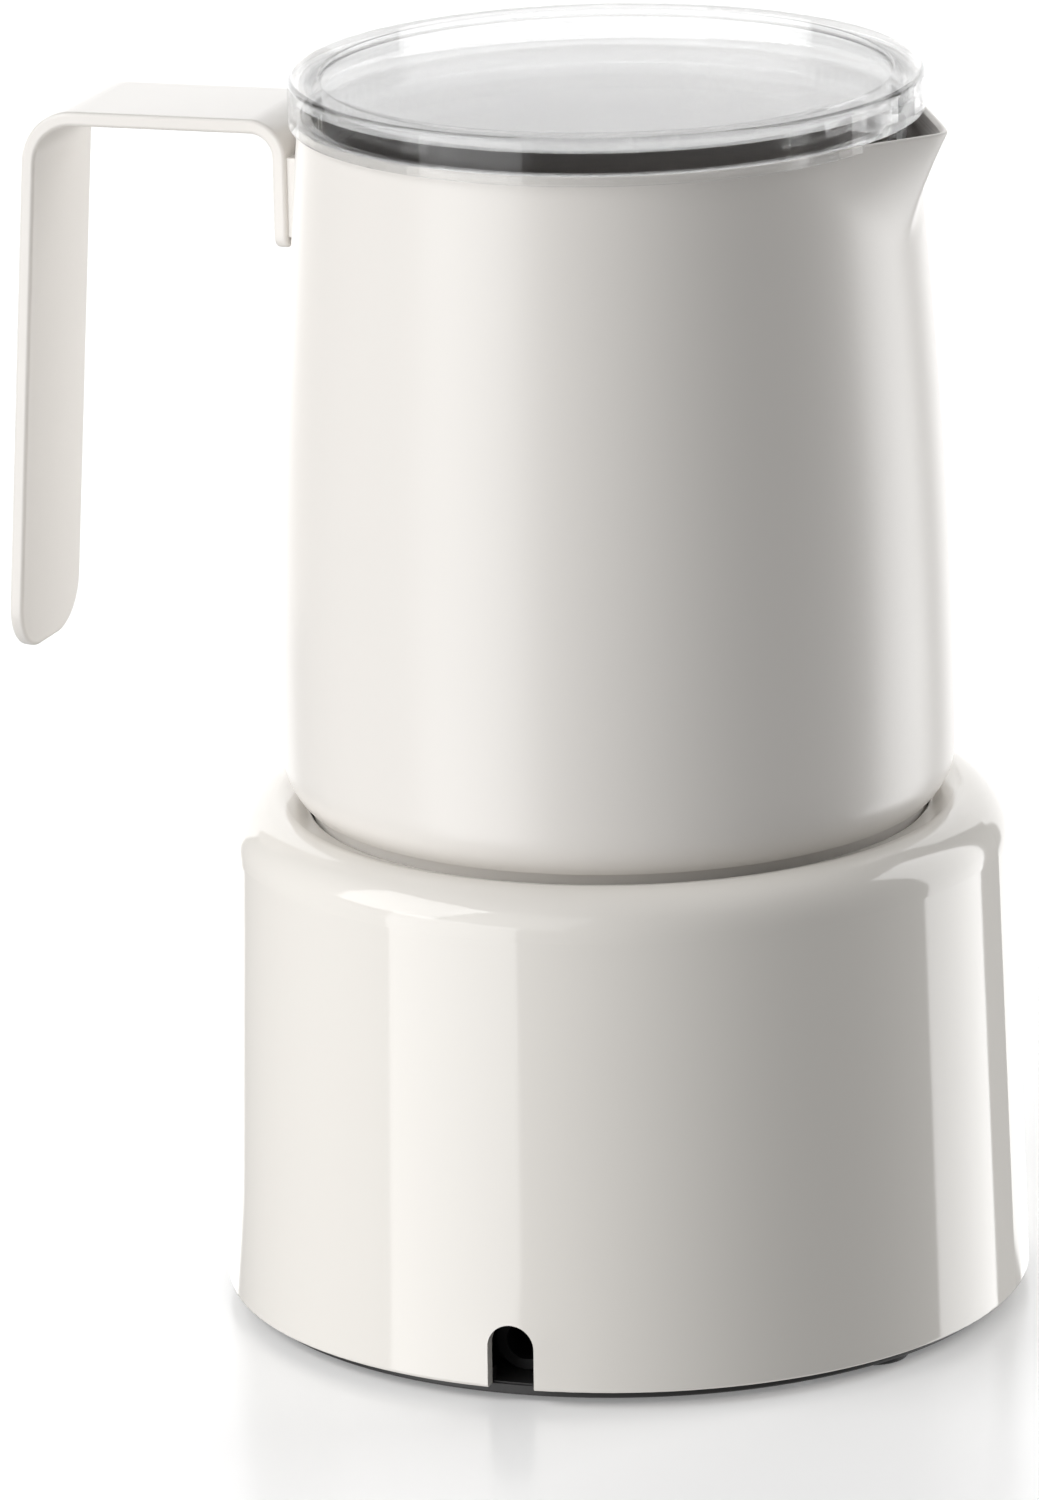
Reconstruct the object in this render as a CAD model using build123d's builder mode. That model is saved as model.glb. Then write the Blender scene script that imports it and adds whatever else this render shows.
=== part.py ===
from build123d import *
import os
from math import atan, radians, sin, tan

os.makedirs("parts", exist_ok=True)

# ---------------------------------------------------------------- driving dimensions (mm)
# +Z is up and the origin is on the base's axis, in the plane that the feet stand on.
# The cord leaves the base along -Y and the button faces +Y.

# fits and clearances
running_gap = 0.05  # radial, a shaft in its bore
slip_gap = 0.3  # between pieces that are dropped or slid together
screw_gap = 0.2  # radial, a screw through a clearance hole
screw_bite = 4.0  # thread below the piece that a screw holds
blind_end = 1.0  # material left at the end of a blind hole

# rounded corners
edge_break = 0.4
moulded_round = 0.8
board_round = 2.0

# base housing
foot_height = 0.9
plate_reveal = 1.7  # how much of the dark base plate shows under the shell
base_bottom_r = 66.0
base_top_r = 63.5  # where the drafted side would meet the top
base_top_z = 84.0
shoulder_r = 7.6
ridge_r = 55.2
ridge_round = 4.0
lip_drop = 1.4  # the top dishes down from the ridge to the recess
lip_round = 0.8
shell_wall = 2.5
shell_edge_round = 0.5

# cord outlet
notch_width = 7.7
notch_height = 10.7  # above the shell's lower edge
cord_r = 3.25
cord_z = 8.0
gland_r = 5.0
gland_front_y = -57.0
gland_length = 14.0
cradle_y = -50.0
cradle_thickness = 4.0
cradle_neck_r = 4.0
clamp_screw_x = 11.0
clamp_width = 30.0
clamp_height = 7.0

# seat plate under the jug
seat_top_z = 78.0
seat_thickness = 3.0
seal_thickness = 0.6
ledge_thickness = 1.4
ledge_inner_r = 46.5

# base plate, its screws and feet
plate_inset = 2.5
plate_floor = 2.0
spigot_height = 2.0
spigot_wall = 2.0
boss_count = 4
boss_first_angle = 45.0
boss_circle_r = 57.5
boss_r = 3.4
boss_height = 27.0
pilot_r = 1.3
screw_r = 1.3
head_r = 2.6
head_height = 1.8
head_round = 0.7
head_slot = 3.0
head_slot_width = 0.6
head_slot_depth = 1.0
foot_count = 3
foot_first_angle = -30.0
foot_circle_r = 56.8
foot_r = 6.2
foot_pocket = 0.5
screw_pad = 2.0  # the floor is this much thicker under the shell's bosses
sunk_depth = 2.2
base_screw_length = 14.0
bracket_screw_length = 8.0
vent_slot = 2.4
vent_length = 24.0
vent_pitch = 5.0
vent_count = 5
rib_width = 2.0

# coil carrier under the seat
carrier_screw_r = 54.0
carrier_screw_count = 3
carrier_first_angle = 30.0
carrier_boss_r = 3.0
carrier_boss_height = 6.0
carrier_ear_r = 3.4
carrier_flange_r = 52.4
carrier_flange_thickness = 2.0
tray_outer_r = 45.8
tray_inner_r = 24.0
tray_wall = 1.5
tray_floor_z = 68.0
coil_turns = 8
coil_wire = 1.9
coil_wire_height = 3.6
coil_turn_gap = 0.3
ferrite_count = 6
ferrite_length = 17.0
ferrite_width = 6.0
ferrite_height = 3.5
post_circle_r = 34.0
post_r = 3.2

# motor and magnetic drive
bracket_z = 58.0
bracket_thickness = 2.0
bracket_r = 38.5
bracket_hole_r = 6.5
bracket_hole_circle_r = 23.5
motor_r = 14.0
motor_height = 28.0
motor_boss_r = 5.0
motor_boss_height = 3.0
motor_screw_x = 9.0
motor_round = 1.5
motor_back = 3.0  # left solid behind the shaft
motor_tab = (3.0, 0.6)
motor_tab_length = 4.0
shaft_r = 1.5
hub_r = 15.0
hub_height = 8.0
hub_to_seat = 1.0
hub_web = 2.0  # between the shaft and the hub's top
magnet_count = 4
drive_magnet_r = 4.0
drive_magnet_height = 3.0
magnet_circle_r = 9.0

# jug sensor: a sprung cap that the jug pushes down
sensor_x = -19.5
sensor_cap_r = 2.5
sensor_guide_wall = 0.9
sensor_guide_length = 13.0
sensor_cap_length = 9.0
sensor_head_gap = 0.05
sensor_vent_r = 0.8
sensor_spring_gap = 0.6  # radial, from the cap's wall to the wire's middle
sensor_spring_turns = 5
spring_wire = 0.4

# main board and what stands on it
board_z = 20.0
board_thickness = 1.6
board_r = 47.0
board_hole_r = 6.0
standoff_circle_r = 43.0
standoff_angles = (75.0, 150.0, 255.0, 335.0)
standoff_r = 3.0
heatsink_x = -29.0
heatsink_size = (14.0, 38.0, 24.0)
fin_slot = 2.2
fin_pitch = 5.2
fin_depth = 9.0
transistor_size = (4.8, 15.6, 20.0)
transistor_y = 9.5
transistor_lead = 2.0
lead_size = (0.8, 1.4)
lead_pitch = 5.0
film_cap_size = (10.0, 28.0, 22.0)
film_cap_x = 29.0
film_cap_gap = 3.0
can_cap_r = 8.0
can_cap_height = 25.0
can_cap_y = 33.0
choke_r = 8.0
choke_wire_r = 3.4
choke_round = 1.6
choke_y = -31.0

# cooling fan
fan_x = 29.0
fan_y = 10.0
fan_size = 40.0
fan_thickness = 10.0
fan_floor_gap = 3.0
fan_bore_r = 18.8
fan_hole_offset = 16.0
fan_hub_r = 8.5
fan_pin_r = 1.0
fan_cap = 1.5  # left solid above the pin's bore
fan_round = 3.0
fan_blades = 7
fan_blade_size = (9.6, 1.2, 6.5)
fan_blade_tilt = 35.0
fan_strut = 2.0
fan_struts = 3
fan_overlap = 0.2  # how far a blade runs into the hub
fan_back = 1.6

# start button and its board
button_z = 50.0
button_r = 7.5
button_flange_r = 8.8
button_flange = 1.5
button_back_y = 58.0
button_proud = 0.6
button_travel = 0.5
button_stem_r = 2.0
button_stem = 1.0
plunger_inset = 0.3  # radial, plunger within the stem
switch_gap = 0.1  # left between stem and switch at full travel
button_spring_r = 4.9
button_spring_turns = 3
control_board_y = 52.0
control_board_size = (32.0, 34.0)
control_board_z = 44.0
control_boss_x = 12.0
control_boss_z = 42.0
control_boss_r = 2.6
control_pilot = 6.0
control_screw_length = 7.0
switch_size = 6.0
switch_height = 2.4
light_pipe_r = 1.2
light_pipe_z = 34.0
light_pipe_pitch = 6.0
light_pipe_count = 4
led_size = 2.6
led_height = 1.2

# jug
jug_turn = -3.5  # the jug stands turned by this angle about Z; its spout is along its own +X
jug_wall = 1.2
jug_rim_z = 197.5
jug_taper_z = 160.0
jug_taper = 0.073  # slope of the straight upper side
jug_belly_z = 92.0
jug_belly_r = 54.8
jug_edge_r = 51.8
jug_edge_z = 84.6
jug_foot_r = 50.0
foot_room = 0.6  # round the foot, in the recess of the base
jug_disc_thickness = 1.6
disc_inset = 0.6  # of the disc, inside the foot
rim_round = 0.5
rim_share = 0.42  # the most that it takes of each side of the wall

# spout
spout_reach = 7.62  # from the rim's radius out to the point
spout_depth = 17.0  # from the rim down to where the keel meets the wall
spout_half_angle = 55.0
spout_lip_drop = 0.8
spout_tip_round = 1.2
spout_back_x = 40.0

# handle: a bent flat bar
strap_width = 24.4
strap_thickness = 2.4
strap_drop = 2.8  # from the rim down to the bar's top
strap_room = 44.92  # from the rim's radius out to the grip
strap_fall = 0.8
strap_lean = 0.064  # outward lean of the grip per millimetre down
strap_grip = 93.2  # from the bar's top down to its free end
strap_bend = 8.2
strap_root_bend = 5.0
strap_stand = 1.97  # tab's outer face beyond the wall, at the tab's lower end
strap_tab = 21.2  # from the bar's top down to the tab's lower end
strap_corner = 8.5
tab_corner = 2.0
strap_edge_round = 0.7

# whisk
pin_r = 2.0
pin_height = 10.0
pin_flange_r = 5.0
pin_flange = 0.8
whisk_gap = 0.3
whisk_disc_r = 12.0
whisk_disc_height = 4.8
whisk_stem_r = 4.6
whisk_stem_height = 13.0
whisk_magnet_r = 2.0
whisk_magnet_height = 3.0
whisk_ring_r = 16.8
whisk_coil_r = 2.1
whisk_arms = 4
whisk_arm_width = 2.4
whisk_arm_height = 1.8

# lid
lid_skirt_wall = 0.96
lid_rise = 6.2  # from the jug's rim up to the lid's top
lid_skirt_drop = 1.5  # below the jug's rim
lid_skirt_gap = 0.45
lid_rim_width = 5.1
lid_rim_step = 0.7
lid_plate = 2.4
lid_plug_gap = 0.75
lid_plug_wall = 2.0
lid_plug_depth = 7.0
lid_slot_width = 13.6
lid_skirt_opening = 31.0
seal_depth = 3.0
seal_height = 2.0
seal_reach = 0.45
lid_round = 0.9

# ---------------------------------------------------------------- sizes that follow from these
plate_bottom_z = foot_height
floor_z = plate_bottom_z + plate_floor
shell_bottom_z = foot_height + plate_reveal
side_slope = (base_bottom_r - base_top_r) / (base_top_z - shell_bottom_z)
plate_r = base_bottom_r - plate_inset
spigot_top_z = floor_z + spigot_height
spigot_r = base_bottom_r - side_slope * (spigot_top_z - shell_bottom_z) - shell_wall - slip_gap
notch_arch_r = notch_width / 2
notch_arch_z = shell_bottom_z + notch_height - notch_arch_r
lip_z = base_top_z - lip_drop
seat_bottom_z = seat_top_z - seat_thickness
ledge_z = seat_bottom_z - seal_thickness
ledge_bottom_z = ledge_z - ledge_thickness
recess_r = jug_foot_r + foot_room
seat_r = recess_r - slip_gap
jug_disc_r = jug_foot_r - disc_inset
hub_top_z = seat_bottom_z - hub_to_seat
hub_bottom_z = hub_top_z - hub_height
bracket_top_z = bracket_z + bracket_thickness
board_top_z = board_z + board_thickness
fan_z = floor_z + fan_floor_gap
floor_under_z = seat_top_z + jug_disc_thickness
jug_floor_z = floor_under_z + jug_wall
taper_run = jug_taper_z - jug_belly_z
jug_taper_r = jug_belly_r - taper_run * tan(atan(jug_taper) / 2)
jug_rim_r = jug_taper_r - (jug_rim_z - jug_taper_z) * jug_taper
whisk_z = jug_floor_z + pin_flange + whisk_gap


def shell_outer_r(z):
    """Outer radius of the base's drafted side at height z."""
    return base_bottom_r - side_slope * (z - shell_bottom_z)


def jug_side_r(z):
    """Outer radius of the jug's straight upper side at height z."""
    return jug_taper_r - (z - jug_taper_z) * jug_taper


tolerance = 0.001  # when an edge is picked by its length


def corner(sketch, x, y):
    """The sketch vertex nearest to a point."""
    return sketch.vertices().sort_by_distance(Vector(x, y))[0]


def make_screw(length, shank_r=screw_r):
    """A pan-head screw that points down -Z, its head standing on the XY plane."""
    with BuildPart() as screw:
        with BuildSketch(Plane.XY.offset(-length)):
            Circle(shank_r)
        extrude(amount=length)
        with BuildSketch(Plane.XY):
            Circle(head_r)
        extrude(amount=head_height)
        fillet(screw.faces().sort_by(Axis.Z)[-1].edges(), head_round)
        with BuildSketch(Plane.XY.offset(head_height)):
            Rectangle(head_slot, head_slot_width)
            Rectangle(head_slot_width, head_slot)
        extrude(amount=-head_slot_depth, mode=Mode.SUBTRACT)
    return screw.part


def make_spring(mean_r, wire, length, turns):
    """A compression spring along +Z that starts at the XY plane."""
    rise = length - wire
    with BuildPart() as spring:
        with BuildLine():
            path = Helix(rise / turns, rise, mean_r, center=(0, 0, wire / 2))
        with BuildSketch(Plane(origin=path @ 0, z_dir=path % 0)):
            Circle(wire / 2)
        sweep(path=path, is_frenet=True)
    return spring.part


# ---------------------------------------------------------------- base housing
carrier_screws_at = PolarLocations(carrier_screw_r, carrier_screw_count, carrier_first_angle)
boss_spots = PolarLocations(boss_circle_r, boss_count, boss_first_angle)
foot_spots = PolarLocations(foot_circle_r, foot_count, foot_first_angle)

with BuildPart() as base_shell:
    with BuildSketch(Plane.XZ) as shell_profile:
        with BuildLine():
            Polyline(
                (base_bottom_r, shell_bottom_z),
                (base_top_r, base_top_z),
                (ridge_r, base_top_z),
                (recess_r, lip_z),
                (recess_r, ledge_z),
                (ledge_inner_r, ledge_z),
                (ledge_inner_r, ledge_bottom_z),
                (recess_r + shell_wall, ledge_bottom_z),
                (recess_r + shell_wall, lip_z - shell_wall),
                (base_top_r - shell_wall, base_top_z - shell_wall),
                (base_bottom_r - shell_wall, shell_bottom_z),
                close=True,
            )
        make_face()
        fillet(corner(shell_profile, base_top_r, base_top_z), shoulder_r)
        fillet(corner(shell_profile, ridge_r, base_top_z), ridge_round)
        fillet(corner(shell_profile, recess_r, lip_z), lip_round)
        fillet(corner(shell_profile, base_bottom_r, shell_bottom_z), shell_edge_round)
        inner_corner = corner(shell_profile, base_top_r - shell_wall, base_top_z - shell_wall)
        fillet(inner_corner, shoulder_r - shell_wall)
    revolve(axis=Axis.Z)
    # screw bosses for the base plate, each tied to the wall by a rib
    with BuildSketch(Plane.XY.offset(floor_z + screw_pad)):
        with boss_spots:
            Circle(boss_r)
        with PolarLocations((boss_circle_r + plate_r) / 2, boss_count, boss_first_angle):
            Rectangle(plate_r - boss_circle_r, rib_width)
    extrude(amount=boss_height)
    with boss_spots:
        Cylinder(pilot_r, 2 * boss_height, mode=Mode.SUBTRACT)
    # bosses for the coil carrier, against the outside of the recess wall
    with BuildSketch(Plane.XY.offset(ledge_bottom_z)):
        with carrier_screws_at:
            Circle(carrier_boss_r)
    extrude(amount=carrier_boss_height)
    with BuildSketch(Plane.XY.offset(ledge_bottom_z)):
        with carrier_screws_at:
            Circle(pilot_r)
    extrude(amount=carrier_boss_height - blind_end, mode=Mode.SUBTRACT)
    # bosses for the control board
    with BuildSketch(Plane.XZ.offset(-control_board_y - board_thickness)):
        with Locations((-control_boss_x, control_boss_z), (control_boss_x, control_boss_z)):
            Circle(control_boss_r)
    extrude(amount=-(shell_outer_r(control_boss_z) - shell_wall - control_board_y - board_thickness))
    with BuildSketch(Plane.XZ.offset(-control_board_y)):
        with Locations((-control_boss_x, control_boss_z), (control_boss_x, control_boss_z)):
            Circle(pilot_r)
    extrude(amount=-board_thickness - control_pilot, mode=Mode.SUBTRACT)
    # cord notch, open at the lower edge
    with BuildSketch(Plane.XZ.offset(spigot_r - spigot_wall)):
        with Locations((0, notch_arch_z)):
            Circle(notch_arch_r)
        with Locations((0, (notch_arch_z + plate_bottom_z) / 2)):
            Rectangle(notch_width, notch_arch_z - plate_bottom_z)
    extrude(amount=base_bottom_r, mode=Mode.SUBTRACT)
    # openings for the button and the light pipes
    with BuildSketch(Plane.XZ.offset(-button_back_y)):
        with Locations((0, button_z)):
            Circle(button_r + slip_gap)
        with Locations((0, light_pipe_z)):
            with GridLocations(light_pipe_pitch, 1, light_pipe_count, 1):
                Circle(light_pipe_r + running_gap)
    extrude(amount=-base_bottom_r, mode=Mode.SUBTRACT)
base_shell.part.label = "base_shell"
export_step(base_shell.part, "parts/base_shell.step")

with BuildPart() as base_plate:
    with BuildSketch(Plane.XZ) as plate_profile:
        with BuildLine():
            Polyline(
                (0, plate_bottom_z),
                (plate_r, plate_bottom_z),
                (plate_r, shell_bottom_z),
                (spigot_r, shell_bottom_z),
                (spigot_r, spigot_top_z),
                (spigot_r - spigot_wall, spigot_top_z),
                (spigot_r - spigot_wall, floor_z),
                (0, floor_z),
                close=True,
            )
        make_face()
        fillet(corner(plate_profile, plate_r, plate_bottom_z), edge_break)
    revolve(axis=Axis.Z)
    # the spigot is open where the cord passes
    with BuildSketch(Plane.XY.offset(floor_z)):
        with Locations((0, -spigot_r)):
            Rectangle(notch_width, 3 * spigot_wall)
    extrude(amount=2 * spigot_height, mode=Mode.SUBTRACT)
    # pads that the shell's bosses stand on
    with BuildSketch(Plane.XY.offset(floor_z)):
        with boss_spots:
            Circle(boss_r)
    extrude(amount=screw_pad)
    # standoffs for the main board and the fan
    with BuildSketch(Plane.XY.offset(floor_z)):
        for angle in standoff_angles:
            with PolarLocations(standoff_circle_r, 1, angle):
                Circle(standoff_r)
    extrude(amount=board_z - floor_z)
    with BuildSketch(Plane.XY.offset(floor_z)):
        with Locations((fan_x, fan_y)):
            with GridLocations(2 * fan_hole_offset, 2 * fan_hole_offset, 2, 2):
                Circle(standoff_r)
    extrude(amount=fan_floor_gap)
    # the cradle that grips the gland's neck
    with BuildSketch(Plane.XY.offset(floor_z)):
        with Locations((0, cradle_y)):
            Rectangle(clamp_width, cradle_thickness)
        with Locations((-clamp_screw_x, cradle_y), (clamp_screw_x, cradle_y)):
            Circle(standoff_r)
    extrude(amount=cord_z - floor_z)
    with BuildSketch(Plane.XZ.offset(-cradle_y - cradle_thickness)):
        with Locations((0, cord_z)):
            Circle(cradle_neck_r)
    extrude(amount=2 * cradle_thickness, mode=Mode.SUBTRACT)
    # pilot holes
    with BuildSketch(Plane.XY.offset(floor_z)):
        for angle in standoff_angles:
            with PolarLocations(standoff_circle_r, 1, angle):
                Circle(pilot_r)
        with Locations((fan_x, fan_y)):
            with GridLocations(2 * fan_hole_offset, 2 * fan_hole_offset, 2, 2):
                Circle(pilot_r)
        with Locations((-clamp_screw_x, cradle_y), (clamp_screw_x, cradle_y)):
            Circle(pilot_r)
    extrude(amount=board_z, mode=Mode.SUBTRACT)
    # screw holes with sunk heads, and pockets for the feet
    with BuildSketch(Plane.XY):
        with boss_spots:
            Circle(screw_r + screw_gap)
    extrude(amount=floor_z + 2 * screw_pad, mode=Mode.SUBTRACT)
    with BuildSketch(Plane.XY.offset(plate_bottom_z)):
        with boss_spots:
            Circle(head_r + slip_gap)
    extrude(amount=sunk_depth, mode=Mode.SUBTRACT)
    with BuildSketch(Plane.XY.offset(plate_bottom_z)):
        with foot_spots:
            Circle(foot_r)
    extrude(amount=foot_pocket, mode=Mode.SUBTRACT)
    # air slots under the fan and, on the far side, under the heatsink
    with BuildSketch(Plane.XY):
        with Locations((fan_x, fan_y), (heatsink_x, 0)):
            with GridLocations(vent_pitch, 1, vent_count, 1):
                SlotOverall(vent_length, vent_slot, rotation=90)
    extrude(amount=2 * floor_z, mode=Mode.SUBTRACT)
base_plate.part.label = "base_plate"
export_step(base_plate.part, "parts/base_plate.step")

with BuildPart() as base_screws:
    with boss_spots:
        base_screw = make_screw(base_screw_length).rotate(Axis.X, 180)
        add(base_screw.moved(Location((0, 0, plate_bottom_z + sunk_depth))))
base_screws.part.label = "base_screws"
export_step(base_screws.part, "parts/base_screws.step")

with BuildPart() as rubber_feet:
    with BuildSketch():
        with foot_spots:
            Circle(foot_r - running_gap)
    extrude(amount=foot_height + foot_pocket)
    fillet(rubber_feet.faces().group_by(Axis.Z)[0].edges(), edge_break)
rubber_feet.part.label = "rubber_feet"
export_step(rubber_feet.part, "parts/rubber_feet.step")

with BuildPart() as seat_plate:
    with BuildSketch(Plane.XY.offset(seat_bottom_z)):
        Circle(seat_r)
        with Locations((sensor_x, 0)):
            Circle(sensor_cap_r + running_gap, mode=Mode.SUBTRACT)
    extrude(amount=seat_thickness)
    chamfer(seat_plate.faces().sort_by(Axis.Z)[-1].outer_wire().edges(), edge_break)
seat_plate.part.label = "seat_plate"
export_step(seat_plate.part, "parts/seat_plate.step")

with BuildPart() as seat_seal:
    with BuildSketch(Plane.XY.offset(ledge_z)):
        Circle(seat_r - slip_gap)
        Circle(ledge_inner_r + slip_gap, mode=Mode.SUBTRACT)
    extrude(amount=seal_thickness)
seat_seal.part.label = "seat_seal"
export_step(seat_seal.part, "parts/seat_seal.step")

# ---------------------------------------------------------------- cord entry
with BuildPart() as cable_gland:
    with BuildSketch(Plane.XZ.offset(-gland_front_y)):
        with Locations((0, cord_z)):
            Circle(gland_r)
    extrude(amount=-gland_length)
    with BuildSketch(Plane.XZ.offset(-cradle_y - (cradle_thickness + slip_gap) / 2)):
        with Locations((0, cord_z)):
            Circle(gland_r)
            Circle(cradle_neck_r - running_gap, mode=Mode.SUBTRACT)
    extrude(amount=cradle_thickness + slip_gap, mode=Mode.SUBTRACT)
    with BuildSketch(Plane.XZ.offset(-gland_front_y)):
        with Locations((0, cord_z)):
            Circle(cord_r + running_gap)
    extrude(amount=-gland_length, mode=Mode.SUBTRACT)
cable_gland.part.label = "cable_gland"
export_step(cable_gland.part, "parts/cable_gland.step")

with BuildPart() as cord_clamp:
    with BuildSketch(Plane.XY.offset(cord_z)):
        with Locations((0, cradle_y)):
            Rectangle(clamp_width, cradle_thickness)
        with Locations((-clamp_screw_x, cradle_y), (clamp_screw_x, cradle_y)):
            Circle(standoff_r)
    extrude(amount=clamp_height)
    with BuildSketch(Plane.XZ.offset(-cradle_y - cradle_thickness)):
        with Locations((0, cord_z)):
            Circle(cradle_neck_r)
    extrude(amount=2 * cradle_thickness, mode=Mode.SUBTRACT)
    with BuildSketch(Plane.XY.offset(cord_z)):
        with Locations((-clamp_screw_x, cradle_y), (clamp_screw_x, cradle_y)):
            Circle(screw_r + screw_gap)
    extrude(amount=clamp_height, mode=Mode.SUBTRACT)
cord_clamp.part.label = "cord_clamp"
export_step(cord_clamp.part, "parts/cord_clamp.step")

with BuildPart() as clamp_screws:
    with Locations((-clamp_screw_x, cradle_y), (clamp_screw_x, cradle_y)):
        add(make_screw(clamp_height + screw_bite).moved(Location((0, 0, cord_z + clamp_height))))
clamp_screws.part.label = "clamp_screws"
export_step(clamp_screws.part, "parts/clamp_screws.step")

# ---------------------------------------------------------------- heating
coil_first_r = tray_inner_r + tray_wall + coil_turn_gap
coil_pitch = (tray_outer_r - tray_wall - coil_first_r) / coil_turns

with BuildPart() as coil_former:
    with BuildSketch(Plane.XY.offset(ledge_bottom_z)):
        Circle(carrier_flange_r)
        with carrier_screws_at:
            Circle(carrier_ear_r)
        Circle(tray_outer_r - tray_wall, mode=Mode.SUBTRACT)
    extrude(amount=-carrier_flange_thickness)
    with BuildSketch(Plane.XY.offset(tray_floor_z)):
        Circle(tray_outer_r)
        Circle(tray_inner_r, mode=Mode.SUBTRACT)
    extrude(amount=ledge_bottom_z - tray_floor_z)
    with BuildSketch(Plane.XY.offset(tray_floor_z + tray_wall)):
        Circle(tray_outer_r - tray_wall)
        Circle(tray_inner_r + tray_wall, mode=Mode.SUBTRACT)
    extrude(amount=ledge_bottom_z - tray_floor_z, mode=Mode.SUBTRACT)
    with BuildSketch(Plane.XY.offset(tray_floor_z)):
        with PolarLocations(post_circle_r, carrier_screw_count, carrier_first_angle):
            Circle(post_r)
    extrude(amount=bracket_top_z - tray_floor_z)
    with BuildSketch(Plane.XY.offset(bracket_top_z)):
        with PolarLocations(post_circle_r, carrier_screw_count, carrier_first_angle):
            Circle(pilot_r)
    extrude(amount=tray_floor_z - bracket_top_z, mode=Mode.SUBTRACT)
    with BuildSketch(Plane.XY.offset(ledge_bottom_z)):
        with carrier_screws_at:
            Circle(screw_r + screw_gap)
    extrude(amount=-carrier_flange_thickness, mode=Mode.SUBTRACT)
coil_former.part.label = "coil_former"
export_step(coil_former.part, "parts/coil_former.step")

with BuildPart() as former_screws:
    with carrier_screws_at:
        under_flange = Location((0, 0, ledge_bottom_z - carrier_flange_thickness))
        add(make_screw(6.5).rotate(Axis.X, 180).moved(under_flange))
former_screws.part.label = "former_screws"
export_step(former_screws.part, "parts/former_screws.step")

with BuildPart() as induction_coil:
    with BuildSketch(Plane.XY.offset(tray_floor_z + tray_wall)):
        for turn in reversed(range(coil_turns)):
            turn_r = coil_first_r + turn * coil_pitch
            Circle(turn_r + coil_wire)
            Circle(turn_r, mode=Mode.SUBTRACT)
    extrude(amount=coil_wire_height)
induction_coil.part.label = "induction_coil"
export_step(induction_coil.part, "parts/induction_coil.step")

with BuildPart() as ferrite_bars:
    with BuildSketch(Plane.XY.offset(tray_floor_z)):
        with PolarLocations((tray_inner_r + tray_outer_r) / 2, ferrite_count):
            Rectangle(ferrite_length, ferrite_width)
    extrude(amount=-ferrite_height)
ferrite_bars.part.label = "ferrite_bars"
export_step(ferrite_bars.part, "parts/ferrite_bars.step")

# ---------------------------------------------------------------- motor and magnetic drive
between_posts = carrier_first_angle + 180 / carrier_screw_count
with BuildPart() as motor_bracket:
    with BuildSketch(Plane.XY.offset(bracket_z)):
        Circle(bracket_r)
        with PolarLocations(bracket_hole_circle_r, carrier_screw_count, between_posts):
            Circle(bracket_hole_r, mode=Mode.SUBTRACT)
        Circle(motor_boss_r + running_gap, mode=Mode.SUBTRACT)
        with PolarLocations(post_circle_r, carrier_screw_count, carrier_first_angle):
            Circle(screw_r + screw_gap, mode=Mode.SUBTRACT)
        with GridLocations(2 * motor_screw_x, 1, 2, 1):
            Circle(screw_r + screw_gap, mode=Mode.SUBTRACT)
    extrude(amount=bracket_thickness)
motor_bracket.part.label = "motor_bracket"
export_step(motor_bracket.part, "parts/motor_bracket.step")

with BuildPart() as bracket_screws:
    with PolarLocations(post_circle_r, carrier_screw_count, carrier_first_angle):
        add(make_screw(bracket_screw_length).rotate(Axis.X, 180).moved(Location((0, 0, bracket_z))))
bracket_screws.part.label = "bracket_screws"
export_step(bracket_screws.part, "parts/bracket_screws.step")

with BuildPart() as motor_can:
    with BuildSketch(Plane.XY.offset(bracket_z)):
        Circle(motor_r)
    extrude(amount=-motor_height)
    fillet(motor_can.edges().group_by(Axis.Z)[0], motor_round)
    with BuildSketch(Plane.XY.offset(bracket_z)):
        Circle(motor_boss_r)
    extrude(amount=motor_boss_height)
    with BuildSketch(Plane.XY.offset(bracket_z + motor_boss_height)):
        Circle(shaft_r + running_gap)
    extrude(amount=motor_back - motor_height, mode=Mode.SUBTRACT)
    with BuildSketch(Plane.XY.offset(bracket_z)):
        with GridLocations(2 * motor_screw_x, 1, 2, 1):
            Circle(screw_r)
    extrude(amount=-screw_bite - blind_end, mode=Mode.SUBTRACT)
    # two solder tabs on the closed end
    with BuildSketch(Plane.XY.offset(bracket_z - motor_height)):
        with GridLocations(1, 2 * motor_screw_x, 1, 2):
            Rectangle(*motor_tab)
    extrude(amount=-motor_tab_length)
motor_can.part.label = "motor_can"
export_step(motor_can.part, "parts/motor_can.step")

with BuildPart() as motor_screws:
    with GridLocations(2 * motor_screw_x, 1, 2, 1):
        motor_screw = make_screw(bracket_thickness + screw_bite, screw_r - running_gap)
        add(motor_screw.moved(Location((0, 0, bracket_top_z))))
motor_screws.part.label = "motor_screws"
export_step(motor_screws.part, "parts/motor_screws.step")

shaft_bottom_z = bracket_z + motor_boss_height + motor_back + blind_end - motor_height
with BuildPart() as motor_shaft:
    with BuildSketch(Plane.XY.offset(shaft_bottom_z)):
        Circle(shaft_r)
    extrude(amount=hub_top_z - hub_web - shaft_bottom_z)
motor_shaft.part.label = "motor_shaft"
export_step(motor_shaft.part, "parts/motor_shaft.step")

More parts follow.
